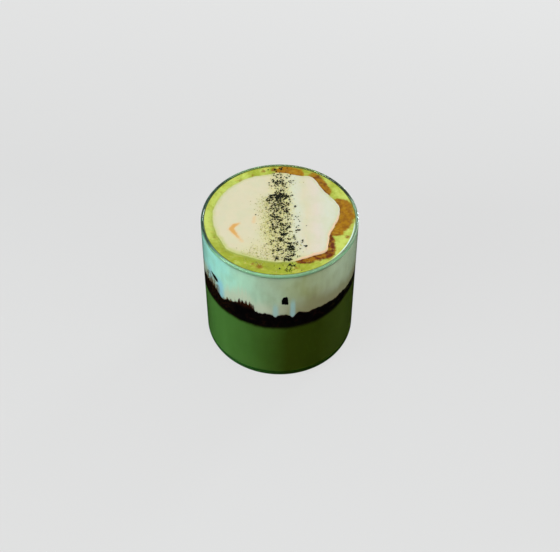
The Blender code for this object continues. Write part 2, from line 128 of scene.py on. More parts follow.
class Painter:
    """Builds one node tree, a node at a time."""

    def __init__(self, tree: bpy.types.NodeTree) -> None:
        """Keeps the tree that the nodes go into."""
        self.tree = tree

    def node(self, kind: str, **settings: object) -> bpy.types.Node:
        """Adds a node of this type, named without ShaderNode, and sets these attributes on it."""
        made = self.tree.nodes.new("ShaderNode" + kind)
        for name, value in settings.items():
            setattr(made, name, value)
        return made

    def feed(self, target: Socket, source: Socket | float | Sequence[float]) -> None:
        """Links a socket to its source, or sets it where the source is a plain value."""
        if isinstance(source, bpy.types.NodeSocket):
            self.tree.links.new(source, target)
        elif target.type == "RGBA":
            target.default_value = (*source, 1.0)[:4]
        else:
            target.default_value = source

    def fill(self, node: bpy.types.Node, **inputs: Number | Sequence[float]) -> None:
        """Feeds a node's inputs, each named by its words joined with underscores."""
        for name, value in inputs.items():
            self.feed(node.inputs[name.replace("_", " ")], value)

    def position(self) -> Socket:
        """Where the surface is, in metres."""
        return self.node("TexCoord").outputs["Object"]

    def measure(self, name: str) -> Socket:
        """A number that the mesh holds at its points."""
        return self.node("Attribute", attribute_name=name).outputs["Fac"]

    def _maths(self, maths: Maths, first: Number, second: Number) -> Socket:
        """The result of one sum on two numbers."""
        made = self.node("Math", operation=maths.value)
        self.feed(made.inputs[0], first)
        self.feed(made.inputs[1], second)
        return made.outputs[0]

    def times(self, first: Number, second: Number) -> Socket:
        """The product of two numbers."""
        return self._maths(Maths.MULTIPLY, first, second)

    def plus(self, first: Number, second: Number) -> Socket:
        """The sum of two numbers."""
        return self._maths(Maths.ADD, first, second)

    def less(self, first: Number, second: Number) -> Socket:
        """The first number less the second."""
        return self._maths(Maths.SUBTRACT, first, second)

    def rise(self, value: Socket, low: Number, high: Number, straight: bool = False) -> Socket:
        """0 at low, 1 at high, and between them a smooth rise or a straight one."""
        made = self.node("MapRange", interpolation_type="LINEAR" if straight else "SMOOTHSTEP")
        self.fill(made, Value=value, From_Min=low, From_Max=high)
        return made.outputs["Result"]

    def mix(self, share: Number, first: Socket | Colour, second: Socket | Colour,
            blend: Blend = Blend.MIX) -> Socket:
        """The second colour laid over the first by this share."""
        made = self.node("Mix", data_type="RGBA", blend_type=blend.value)
        self.feed(made.inputs[0], share)
        self.feed(made.inputs[6], first)
        self.feed(made.inputs[7], second)
        return made.outputs[2]

    def over(self, base: Socket, colour: Socket | Colour, mask: Socket, strength: float,
             blend: Blend = Blend.MIX) -> Socket:
        """The base colour with another laid over it where the mask is, at this strength."""
        return self.mix(self.times(mask, strength), base, colour, blend)

    def ramp(self, value: Socket, stops: Sequence[tuple[float, Colour]]) -> Socket:
        """Colours along a line, read at this value."""
        made = self.node("ValToRGB")
        elements = made.color_ramp.elements
        while len(elements) < len(stops):
            elements.new(1.0)
        for element, (place, colour) in zip(elements, stops):
            element.position = place
            element.color = (*colour, 1.0)
        self.feed(made.inputs[0], value)
        return made.outputs[0]

    def scaled(self, vector: Socket, factors: Sequence[float]) -> Socket:
        """A vector times three numbers."""
        made = self.node("VectorMath", operation="MULTIPLY")
        self.feed(made.inputs[0], vector)
        self.feed(made.inputs[1], factors)
        return made.outputs[0]

    def noise(self, vector: Socket, scale: Number, detail: float = 3.0,
              roughness: float = 0.55) -> Socket:
        """Soft noise around 0.5."""
        made = self.node("TexNoise")
        self.fill(made, Vector=vector, Scale=scale, Detail=detail, Roughness=roughness)
        return made.outputs["Fac"]

    def axis(self, vector: Socket, name: str) -> Socket:
        """One of X, Y and Z of a vector."""
        made = self.node("SeparateXYZ")
        self.feed(made.inputs[0], vector)
        return made.outputs[name]

    def raised(self, height: Socket, distance: float, strength: float = 1.0) -> Socket:
        """A normal bent by this height, whose full range stands for distance."""
        made = self.node("Bump")
        self.fill(made, Strength=strength, Distance=distance, Height=height)
        return made.outputs["Normal"]

    def use(self, group: bpy.types.NodeTree, **inputs: Number) -> bpy.types.Node:
        """Places a shared group."""
        made = self.node("Group", node_tree=group)
        self.fill(made, **inputs)
        return made

    def mask(self, group: bpy.types.NodeTree, **inputs: Number) -> Socket:
        """Places a shared group, and gives its mask."""
        return self.use(group, **inputs).outputs["Mask"]

    def stained(self, group: bpy.types.NodeTree, measure: str, **settings: float) -> Socket:
        """Where a stain lies, from how far inside its outline the mesh says that each point is."""
        return self.mask(group, Inside=self.measure(measure), Position=self.position(), **settings)


class SharedEffects:
    """The effects that more than one finish uses, each a node group that is built once."""

    def __init__(self) -> None:
        """Builds the groups."""
        self.streaks = self._streaks()
        self.foam = self._foam()
        self.stain = self._stain()
        self.across = self._across()

    @staticmethod
    def _begin(name: str, inputs: Sequence[str], outputs: Sequence[str]) -> tuple[Painter, dict, dict]:
        """Starts a group.

        Args:
            name: the group's name.
            inputs: the names of the inputs, each a number, but for Position.
            outputs: the names of the outputs, each a number.
        Returns:
            A painter for it, its inputs by name, and its output sockets by name.
        """
        tree = bpy.data.node_groups.new(name, "ShaderNodeTree")
        for label in inputs:
            kind = "NodeSocketVector" if label == "Position" else "NodeSocketFloat"
            tree.interface.new_socket(label, in_out="INPUT", socket_type=kind)
        for label in outputs:
            tree.interface.new_socket(label, in_out="OUTPUT", socket_type="NodeSocketFloat")
        source = tree.nodes.new("NodeGroupInput")
        target = tree.nodes.new("NodeGroupOutput")
        given = {label: source.outputs[label] for label in inputs}
        wanted = {label: target.inputs[label] for label in outputs}
        return Painter(tree), given, wanted

    def _streaks(self) -> bpy.types.NodeTree:
        """Upright streaks, as poured liquid leaves on the inside of a glass."""
        paint, given, wanted = self._begin("wall_streaks", ("Position", "Fineness", "Stretch"), ("Mask",))
        height = paint.times(given["Fineness"], given["Stretch"])
        scale = paint.node("CombineXYZ")
        paint.fill(scale, X=given["Fineness"], Y=given["Fineness"], Z=height)
        stretched = paint.node("VectorMath", operation="MULTIPLY")
        paint.feed(stretched.inputs[0], given["Position"])
        paint.feed(stretched.inputs[1], scale.outputs[0])
        grain = paint.noise(stretched.outputs[0], 1.0, detail=5.0, roughness=0.6)
        paint.feed(wanted["Mask"], paint.rise(grain, 0.3, 0.7))
        return paint.tree

    def _foam(self) -> bpy.types.NodeTree:
        """Fine bubbles in a foamed surface: their relief, and a mask of the rims between them."""
        paint, given, wanted = self._begin("fine_foam", ("Position", "Fineness"), ("Height", "Rims"))
        cells = paint.node("TexVoronoi", feature="F1")
        paint.fill(cells, Vector=given["Position"], Scale=given["Fineness"])
        slow = paint.noise(given["Position"], paint.times(given["Fineness"], 0.12), detail=4.0)
        pits = paint.times(cells.outputs["Distance"], paint.rise(slow, 0.42, 0.62))
        paint.feed(wanted["Height"], paint.plus(paint.times(pits, 0.5), slow))
        paint.feed(wanted["Rims"], paint.rise(pits, 0.35, 0.75))
        return paint.tree

    def _stain(self) -> bpy.types.NodeTree:
        """Where a stain lies, from how far inside its outline a point is, in millimetres."""
        paint, given, wanted = self._begin(
            "ragged_stain", ("Inside", "Position", "Fineness", "Ragged", "Softness"), ("Mask",))
        grain = paint.noise(given["Position"], given["Fineness"], detail=4.0, roughness=0.6)
        shift = paint.times(paint.less(grain, 0.5), given["Ragged"])
        moved = paint.plus(given["Inside"], paint.times(shift, 2.0))
        low = paint.times(given["Softness"], -1.0)
        paint.feed(wanted["Mask"], paint.rise(moved, low, given["Softness"]))
        return paint.tree

    def _across(self) -> bpy.types.NodeTree:
        """How far across the drink a point is, 0 at the left wall and 1 at the right, a little uneven."""
        paint, given, wanted = self._begin("across_the_drink", ("Position", "Reach", "Uneven"), ("Share",))
        low = paint.times(given["Reach"], -1.0)
        share = paint.rise(paint.axis(given["Position"], "X"), low, given["Reach"], straight=True)
        drift = paint.less(paint.noise(given["Position"], 60.0, detail=2.0), 0.5)
        moved = paint.times(drift, given["Uneven"])
        paint.feed(wanted["Share"], paint.plus(share, moved))
        return paint.tree


@dataclass(frozen=True)
class Outline:
    """The measures of the tumbler and its layers, as the frame gives them."""

    radius: float
    height: float
    wall: float
    foot: float
    surface: float
    reach: float = 0.0002
    tea_top: float = 0.0405
    coffee_top: float = 0.0498
    ledge_drop: float = 0.0016
    wash_creep: float = 0.0005
    cap_rise: float = 0.0006

    @classmethod
    def from_frame(cls) -> "Outline":
        """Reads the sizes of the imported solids."""
        gap = 0.0003
        solid_creep = 0.0003
        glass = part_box("glass")[1]
        drink_low, drink_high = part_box("matcha")
        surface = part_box("matcha_wash")[1].z - solid_creep
        return cls(glass.x, glass.z, glass.x - drink_high.x - gap, drink_low.z - gap, surface)

    @property
    def inner(self) -> float:
        """The radius of the glass's inner wall."""
        return self.radius - self.wall

    @property
    def drink(self) -> float:
        """The radius of the drink, which reaches just into the wall so that no air shows between them."""
        return self.inner + self.reach


class DrinkShape:
    """The curves that the layers share: the cap's outline and where the layers meet on the wall."""

    # The cap's outline: angle in degrees, and radius in millimetres
    CAP_OUTLINE = (
        (0, 29.0), (17, 30.9), (31, 29.7), (45, 30.2), (61, 33.6), (74, 32.2), (90, 32.8), (104, 32.0),
        (120, 33.0), (148, 33.6), (180, 33.4), (205, 32.7), (220, 33.2), (236, 30.8), (252, 29.7),
        (270, 29.8), (290, 29.3), (305, 30.0), (316, 31.4), (326, 28.7), (337, 26.7), (349, 27.6),
    )
    # Its fine wiggles: how many round it, depth in millimetres, and phase
    CAP_WIGGLES = ((13, 0.10, 0.4), (23, 0.08, 2.1), (37, 0.06, 4.0), (61, 0.04, 1.2))
    # The swirls of coffee: node, first and last angle in degrees, and breadth
    SWIRLS = (
        ("coffee_swirl_back", 72.0, 92.0, 0.0036),
        ("coffee_swirl_back_right", 34.0, 64.0, 0.0045),
        ("coffee_swirl_right", -19.0, 27.0, 0.0068),
        ("coffee_swirl_front_right", -75.0, -25.0, 0.0040),
    )
    # How far each swirl's stain spreads past its body, in millimetres, how dark it is, and how many degrees
    # it runs on past either end
    STAINS = ((2.2, 0.30, 4.0, 2.0), (0.3, 0.60, 0.0, 2.0), (1.2, 0.40, 6.0, 0.0), (0.5, 1.0, 0.0, 3.0))
    # Where the tea stands higher: bearing and half width in degrees, and height
    TEA_RISE = (72.0, 52.0, 0.0046)
    # Fringes of coffee: bearing and half width in degrees, and height in millimetres
    SPIKES = (
        (-70.0, 2.6, 0.8), (-66.5, 2.6, 1.6), (-63.4, 2.6, 2.4), (-60.6, 2.3, 2.8), (-57.6, 2.3, 2.2),
        (-54.6, 2.0, 1.2), (-41.5, 4.5, 1.4), (-37.0, 3.5, 1.5), (-33.8, 3.4, 2.6), (-31.2, 2.7, 4.8),
        (-28.2, 2.3, 6.6), (-26.8, 1.7, 4.8), (-25.2, 2.3, 6.5), (-23.9, 1.6, 4.6), (-22.6, 2.0, 5.4),
        (-21.2, 1.6, 3.6), (-19.6, 2.1, 3.0), (-17.3, 1.5, 0.9), (15.5, 4.0, 0.9), (110.5, 2.4, 2.6),
        (115.5, 2.4, 3.6), (120.5, 2.4, 2.9), (125.5, 2.4, 3.4), (190.0, 2.8, 3.6), (196.0, 2.8, 4.4),
        (202.0, 2.8, 3.0),
    )
    # Rows of fringes: bearing and half width in degrees
    FRINGES = ((-61.5, 9.0), (-42.0, 4.0), (-26.0, 7.0), (118.0, 10.0), (196.0, 9.0))
    # Notches where cream has run down: bearing and half width in degrees, and depth
    RUNS = (
        (-47, 6.0, 0.0020), (-3.0, 3.4, 0.0012), (9.5, 3.2, 0.0024), (88, 4.0, 0.0016), (152, 5.0, 0.0020),
        (235, 4.5, 0.0018),
    )
    # How far a swirl stays from the glass, and how far its stain reaches under the cap
    SWIRL_GAP = 0.0009
    STAIN_UNDER_CAP = 0.0006

    def __init__(self, outline: Outline) -> None:
        """Keeps the measures that the curves need."""
        self.outline = outline

    def cap_radius(self, angle: Array) -> Array:
        """The cap's outline: a smooth periodic curve through CAP_OUTLINE, with fine wiggles."""
        places = np.array([place for place, _ in self.CAP_OUTLINE], float)
        radii = np.array([radius for _, radius in self.CAP_OUTLINE], float) * MM
        count = len(places)
        degrees = np.degrees(angle) % 360.0
        here = np.searchsorted(places, degrees, side="right") - 1
        before, after, later = (here - 1) % count, (here + 1) % count, (here + 2) % count
        span = (places[after] - places[here]) % 360.0
        share = ((degrees - places[here]) % 360.0) / span
        slope = (radii[after] - radii[before]) / ((places[after] - places[before]) % 360.0) * span
        next_slope = (radii[later] - radii[here]) / ((places[later] - places[here]) % 360.0) * span
        curve = (2 * share**3 - 3 * share**2 + 1) * radii[here] + (share**3 - 2 * share**2 + share) * slope
        curve += (3 * share**2 - 2 * share**3) * radii[after] + (share**3 - share**2) * next_slope
        for waves, depth, phase in self.CAP_WIGGLES:
            curve = curve + depth * MM * np.sin(waves * angle + phase)
        return curve

    def cap_height(self, x: Array, y: Array) -> Array:
        """The cap's upper face: a faint dome, one soft fold on the right, and slow ripples."""
        shape = self.outline
        dome = 0.0003 * (1.0 - (x * x + y * y) / shape.drink**2)
        fold = 0.00018 * np.exp(-(((x - 0.0165) / 0.0035) ** 2))
        sway = 0.00012 * np.sin(140.0 * x + 90.0 * y)
        ripple = 0.00003 * np.sin(900.0 * x - 400.0 * y) + 0.00002 * np.sin(500.0 * x + 1300.0 * y + 1.0)
        return shape.surface + shape.cap_rise + dome + fold + sway + ripple

    def tea_top(self, angle: Array) -> Array:
        """The height of the tea's upper edge against the glass."""
        bearing, spread, rise = self.TEA_RISE
        lift = rise * bump(apart(bearing_of(angle), bearing), spread)
        ripple = 0.00022 * np.sin(5 * angle + 1.0) + 0.00010 * np.sin(19 * angle + 0.5)
        return self.outline.tea_top + lift + ripple

    def fringe(self, bearing: Array) -> Array:
        """How far the coffee's fringes climb: rows of uneven points."""
        height = np.zeros_like(bearing)
        for tip, half_width, tallest in self.SPIKES:
            slope = np.clip(1.0 - apart(bearing, tip) / half_width, 0.0, 1.0)
            height = np.maximum(height, tallest * MM * slope**0.8)
        return height

    def fringe_zone(self, bearing: Array) -> Array:
        """1 where a row of fringes is, falling to 0 past its ends."""
        zone = np.zeros_like(bearing)
        for centre, spread in self.FRINGES:
            zone = np.maximum(zone, 1.0 - smoothstep(apart(bearing, centre), 0.8 * spread, 1.5 * spread))
        return zone

    def coffee_top(self, angle: Array) -> Array:
        """The height of the coffee's upper edge against the glass, with its fringes and the cream's runs."""
        bearing = bearing_of(angle)
        runs = sum(depth * bump(apart(bearing, centre), half) for centre, half, depth in self.RUNS)
        ripple = 0.00022 * (np.sin(17 * angle) + np.sin(29 * angle + 2.0))
        ragged = 0.00016 * (np.sin(71 * angle + 1.0) + np.sin(113 * angle) * np.sin(3 * angle))
        return self.outline.coffee_top + self.fringe(bearing) - runs + ripple + ragged

    def swirl_limits(self, angle: Array, start: float, end: float, breadth: float) -> tuple[Array, Array]:
        """A swirl's inner and outer radius, in a range of angles given in degrees."""
        middle, half = (start + end) / 2, (end - start) / 2
        share = apart(np.degrees(angle), middle) / half
        lobes = 1.0 - 0.12 * (0.5 - 0.5 * np.cos(9.0 * angle + start)) + 0.05 * np.sin(31.0 * angle)
        width = breadth * lobes * np.sqrt(np.clip(1.0 - share**3, 0.0, 1.0))
        inner = self.cap_radius(angle)
        return inner, np.minimum(inner + width, self.outline.drink - self.SWIRL_GAP)

    def stain(self, x: Array, y: Array) -> tuple[Array, Array]:
        """How far inside the nearest swirl's stain points on top are, in millimetres, and how dark it is."""
        angle, radius = np.arctan2(y, x), np.hypot(x, y)
        best, dark = np.full_like(x, -8.0), np.zeros_like(x)
        for (_, start, end, breadth), (spread, depth, before, after) in zip(self.SWIRLS, self.STAINS):
            start, end = start - before, end + after
            middle, half = (start + end) / 2, (end - start) / 2
            off = apart(np.degrees(angle), middle)
            inner, outer = self.swirl_limits(angle, start, end, breadth)
            outer = outer + spread * MM * (outer - inner) / breadth
            along = np.radians(half - off) * radius
            inside = np.minimum(np.minimum(outer - radius, radius - inner + self.STAIN_UNDER_CAP), along) / MM
            dark = np.where(inside > best, depth, dark)
            best = np.maximum(best, inside)
        return best, dark

    def off_cap_mm(self, x: Array, y: Array) -> Array:
        """How far outside the cap's outline points on top are, in millimetres, and negative inside."""
        return (np.hypot(x, y) - self.cap_radius(np.arctan2(y, x))) / MM


class RingMesh:
    """A mesh made of rings with the same number of points, closed by a point at each end or end to end."""

    def __init__(self, segments: int) -> None:
        """Keeps the angles of a ring's points."""
        self.angles = np.arange(segments) * math.tau / segments
        self.rings: list[Array] = []

    def add(self, radius: Array | float, height: Array | float) -> None:
        """Adds a ring at these radii and heights."""
        radius = np.broadcast_to(radius, self.angles.shape)
        height = np.broadcast_to(height, self.angles.shape)
        self.rings.append(polar(radius, self.angles, height))

    def arc(self, centre: tuple[float, float], radius: float, start: float, end: float, count: int) -> None:
        """Adds the rings of an arc about a centre's radius and height, from angle to angle in degrees."""
        for angle in np.radians(np.linspace(start, end, count)):
            self.add(centre[0] + radius * math.cos(angle), centre[1] + radius * math.sin(angle))

    def wall(self, radius: float, low: Array | float, high: Array | float, count: int) -> None:
        """Adds the rings of a wall from low to high, without those at its ends."""
        for share in np.linspace(0.0, 1.0, count)[1:-1]:
            self.add(radius, low + (high - low) * share)

    def build(self, name: str, low: float | None, high: float | None) -> bpy.types.Object:
        """Makes the object.

        Args:
            name: its name.
            low: the height of the point that closes the first ring, or None to join the last ring to it.
            high: the same for the last ring.
        """
        count, size = len(self.rings), len(self.angles)
        points = np.concatenate(self.rings)
        index = np.arange(count * size).reshape(count, size)
        faces = self.between(index[:-1], index[1:])
        if low is None:
            faces = np.concatenate([faces, self.between(index[-1:], index[:1])])
            sides = faces.tolist()
        else:
            points = np.concatenate([points, [[0.0, 0.0, low], [0.0, 0.0, high]]])
            first = [[count * size, int(b), int(a)] for a, b in zip(index[0], np.roll(index[0], -1))]
            last = [[count * size + 1, int(a), int(b)] for a, b in zip(index[-1], np.roll(index[-1], -1))]
            sides = faces.tolist() + first + last
        return make_object(name, points, sides)

    @staticmethod
    def between(first: Array, second: Array) -> Array:
        """The four-sided faces between pairs of rings."""
        along, next_along = np.roll(first, -1, axis=1), np.roll(second, -1, axis=1)
        return np.stack([first, along, next_along, second], axis=-1).reshape(-1, 4)


def make_object(name: str, points: Array, faces: list[list[int]], smooth: bool = True) -> bpy.types.Object:
    """Links a mesh of these points and faces into the scene, with its faces turned outwards."""
    mesh = bpy.data.meshes.new(name)
    mesh.from_pydata(points.tolist(), [], faces)
    work = bmesh.new()
    work.from_mesh(mesh)
    bmesh.ops.recalc_face_normals(work, faces=work.faces)
    work.to_mesh(mesh)
    work.free()
    if smooth:
        mesh.shade_smooth()
    obj = bpy.data.objects.new(name, mesh)
    bpy.context.scene.collection.objects.link(obj)
    return obj


def coordinates(obj: bpy.types.Object) -> tuple[Array, Array, Array]:
    """The x, y and z of a mesh's points."""
    flat = np.empty(len(obj.data.vertices) * 3)
    obj.data.vertices.foreach_get("co", flat)
    x, y, z = flat.reshape(-1, 3).T
    return x, y, z


def hold(obj: bpy.types.Object, **measures: Array) -> None:
    """Keeps a number of each of these names at each of a mesh's points, for its finish to read."""
    for name, values in measures.items():
        attribute = obj.data.attributes.new(name, "FLOAT", "POINT")
        attribute.data.foreach_set("value", values.astype(np.float32))


def dress(obj: bpy.types.Object, finish: bpy.types.Material, slot: str, *nodes: str) -> bpy.types.Object:
    """Gives a piece its finish and its body, and hides the solids that it stands for."""
    obj.data.materials.clear()
    obj.data.materials.append(finish)
    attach(obj, "root")
    if nodes:
        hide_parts(*nodes)
    LOG.info("%s: %d points, %d faces", obj.name, len(obj.data.vertices), len(obj.data.polygons))
    return obj


def new_material(name: str) -> tuple[Painter, bpy.types.Node, bpy.types.Material]:
    """Starts a finish: a painter for its tree, its shader, and the material."""
    made = bpy.data.materials.new(name)
    made.use_nodes = True
    return Painter(made.node_tree), made.node_tree.nodes["Principled BSDF"], made


@dataclass(frozen=True)
class GlassFinish:
    """Clear glass with a faint green depth, painted dark reflections on its rim, lime painted on the rim at
    the back as if the film were seen through it, and a trace of handling.
    """

    absorbs: Colour = (0.34, 0.92, 0.82)
    depth: float = 75.0
    # Painted light: the colour of the dark reflections painted on the rim, and the lime painted on the rim as
    # a refraction of the film
    dark_rim: Colour = (0.012, 0.018, 0.008)
    lime_rim: Colour = (0.66, 0.78, 0.28)
    ior: float = 1.5
    smudged: float = 0.03

    def material(self, effects: SharedEffects) -> bpy.types.Material:
        """Builds the finish."""
        paint, shader, made = new_material("clear_glass")
        # Painted refraction and reflection: lime where the film would show through the rim at the back, dark
        # where the rim's edges reflect dark surroundings
        tint = paint.mix(paint.measure("rim_lime"), grey(1.0), self.lime_rim)
        place = paint.position()
        smudge = paint.mask(effects.streaks, Position=place, Fineness=120.0, Stretch=0.5)
        waves = paint.noise(place, 90.0, detail=1.0)
        paint.fill(
            shader, Base_Color=paint.mix(paint.measure("rim_dark"), tint, self.dark_rim),
            Transmission_Weight=1.0, IOR=self.ior, Roughness=paint.times(smudge, self.smudged),
            Normal=paint.raised(waves, 0.00004, strength=0.06))
        inside = paint.node("VolumeAbsorption")
        paint.fill(inside, Color=self.absorbs, Density=self.depth)
        paint.fill(made.node_tree.nodes["Material Output"], Volume=inside.outputs[0])
        return made


@dataclass(frozen=True)
class TeaFinish:
    """Strong green tea, opaque, cooler and lighter on the left and darker to the right: partly its own tone,
    and partly painted light from the left and painted shade to the right.
    """

    left: Colour = srgb(100, 142, 68)
    middle: Colour = srgb(80, 108, 42)
    right: Colour = srgb(64, 74, 16)
    far_right: Colour = srgb(80, 92, 34)
    under_coffee: Colour = srgb(28, 26, 8)
    sediment: Colour = srgb(96, 140, 52)
    streak_tint: Colour = (0.55, 0.62, 0.45)

    def material(self, effects: SharedEffects, reach: float) -> bpy.types.Material:
        """Builds the finish."""
        paint, shader, made = new_material("green_tea")
        place = paint.position()
        share = paint.use(effects.across, Position=place, Reach=reach, Uneven=0.12).outputs["Share"]
        # Across the drink: partly the tea's own tone, and partly painted light on the left and painted shade
        # on the right
        green = paint.ramp(share, (
            (0.16, self.left), (0.38, self.middle), (0.56, self.right), (0.74, self.right),
            (0.92, self.far_right)))
        streak = paint.mask(effects.streaks, Position=place, Fineness=160.0, Stretch=0.2)
        green = paint.over(green, self.streak_tint, streak, 0.18, Blend.MULTIPLY)
        sediment = paint.rise(paint.noise(place, 700.0, detail=4.0), 0.60, 0.70)
        green = paint.over(green, self.sediment, sediment, 0.12)
        meets = paint.mask(
            effects.stain, Inside=paint.less(paint.measure("below_coffee_mm"), 1.2), Position=place,
            Fineness=260.0, Ragged=0.9, Softness=1.4)
        paint.fill(
            shader, Base_Color=paint.mix(meets, self.under_coffee, green),
            Roughness=paint.rise(streak, -1.0, 3.0), Specular_IOR_Level=BEHIND_GLASS_GLOSS,
            Normal=paint.raised(streak, 0.00003, strength=0.3))
        return made


@dataclass(frozen=True)
class CoffeeFinish:
    """Near-black coffee, reddish where it climbs thinly into the cream."""

    black: Colour = srgb(10, 7, 8)
    cloud: Colour = srgb(40, 18, 12)
    thin: Colour = srgb(84, 36, 16)
    over_tea: Colour = srgb(30, 28, 9)
    olive: Colour = srgb(56, 48, 18)
    umber: Colour = srgb(66, 38, 14)

    def material(self, effects: SharedEffects) -> bpy.types.Material:
        """Builds the finish."""
        paint, shader, made = new_material("dark_coffee")
        place = paint.position()
        streak = paint.mask(effects.streaks, Position=place, Fineness=900.0, Stretch=0.15)
        climb = paint.rise(paint.measure("climb_mm"), 0.2, 6.5)
        thinning = paint.times(climb, paint.plus(paint.times(streak, 0.8), 0.3))
        clouds = paint.rise(paint.noise(place, 420.0, detail=4.0), 0.52, 0.68)
        deep = paint.mix(paint.times(clouds, 0.6), self.black, self.cloud)
        colour = paint.mix(thinning, deep, self.thin)
        at_side = paint.times(paint.rise(paint.axis(place, "X"), 0.020, 0.034), clouds)
        colour = paint.over(colour, self.olive, at_side, 0.8)
        fine_clouds = paint.rise(paint.noise(place, 750.0, detail=5.0), 0.42, 0.66)
        at_left = paint.times(paint.rise(paint.axis(place, "X"), -0.018, -0.032), fine_clouds)
        colour = paint.over(colour, self.umber, at_left, 0.6)
        low = paint.stained(effects.stain, "above_tea_mm", Fineness=260.0, Ragged=0.7, Softness=1.1)
        paint.fill(
            shader, Base_Color=paint.mix(low, self.over_tea, colour),
            Roughness=paint.rise(streak, -1.0, 4.0), Specular_IOR_Level=BEHIND_GLASS_GLOSS)
        return made


@dataclass(frozen=True)
class WallCreamFinish:
    """Cream seen through the glass, with paler runs: mint on the left, partly where the tea tints it and
    partly painted cool light, duller and darker to the right as painted shade, and brighter at the far right
    as painted light.
    """

    far_left: Colour = srgb(206, 254, 248)
    left: Colour = srgb(216, 240, 218)
    middle: Colour = srgb(209, 214, 189)
    right: Colour = srgb(200, 196, 150)
    far_right: Colour = srgb(226, 228, 202)
    low_left: Colour = srgb(232, 222, 200)
    low_right: Colour = srgb(176, 160, 122)
    run: Colour = srgb(188, 214, 218)
    blue_run: Colour = srgb(176, 222, 240)
    brown: Colour = srgb(86, 34, 14)
    gold: Colour = srgb(116, 80, 32)
    red_brown: Colour = srgb(84, 44, 24)
    dull: Colour = srgb(168, 146, 116)
    streak_tint: Colour = (0.74, 0.70, 0.64)
    blotch_tint: Colour = (0.80, 0.76, 0.64)

    def material(self, effects: SharedEffects, reach: float) -> bpy.types.Material:
        """Builds the finish."""
        paint, shader, made = new_material("cream_at_the_wall")
        place = paint.position()
        share = paint.use(effects.across, Position=place, Reach=reach, Uneven=0.25).outputs["Share"]
        # Across the drink: partly the cream's own tint, and partly painted light, cool on the left, painted
        # shade to the right and painted light again at the far right
        cream = paint.ramp(share, (
            (0.09, self.far_left), (0.25, self.left), (0.48, self.middle), (0.66, self.right),
            (0.85, self.far_right)))
        streak = paint.mask(effects.streaks, Position=place, Fineness=220.0, Stretch=0.22)
        cream = paint.over(cream, self.streak_tint, streak, 0.40, Blend.MULTIPLY)
        blotch = paint.noise(paint.scaled(place, (1.0, 1.0, 0.7)), 130.0, detail=4.0)
        blotch = paint.rise(blotch, 0.46, 0.66)
        cream = paint.over(cream, self.blotch_tint, blotch, 0.40, Blend.MULTIPLY)
        patch = paint.times(paint.measure("dull_patch"), paint.rise(streak, -0.6, 1.2))
        cream = paint.mix(patch, cream, self.dull)
        above = paint.measure("above_coffee_mm")
        sinking = paint.rise(paint.plus(above, paint.times(streak, 4.0)), 14.0, 5.0)
        sunk = paint.mix(paint.rise(share, 0.38, 0.66), self.low_left, self.low_right)
        cream = paint.over(cream, sunk, sinking, 0.85)
        cool = paint.mix(paint.rise(share, 0.16, 0.40), self.blue_run, self.run)
        cream = paint.mix(paint.measure("run"), cream, cool)
        fine = paint.mask(effects.streaks, Position=place, Fineness=800.0, Stretch=0.3)
        reach_up = paint.plus(paint.times(paint.rise(paint.axis(place, "X"), -0.026, -0.031), 5.6), 3.3)
        feather = paint.less(paint.times(fine, reach_up), above)
        feather = paint.times(paint.rise(feather, -0.4, 1.4), paint.measure("fringe_zone"))
        tuft = paint.mix(paint.rise(paint.axis(place, "X"), -0.026, -0.020), self.gold, self.red_brown)
        cream = paint.over(cream, tuft, feather, 0.9)
        seam = paint.times(paint.rise(above, 0.9, 0.0), paint.rise(fine, -0.4, 0.9))
        bubbles = paint.use(effects.foam, Position=place, Fineness=1600.0).outputs["Height"]
        paint.fill(
            shader, Base_Color=paint.mix(seam, cream, self.brown), Roughness=paint.rise(streak, -2.0, 3.0),
            Normal=paint.raised(bubbles, 0.00005, strength=0.4), Specular_IOR_Level=BEHIND_GLASS_GLOSS)
        return made


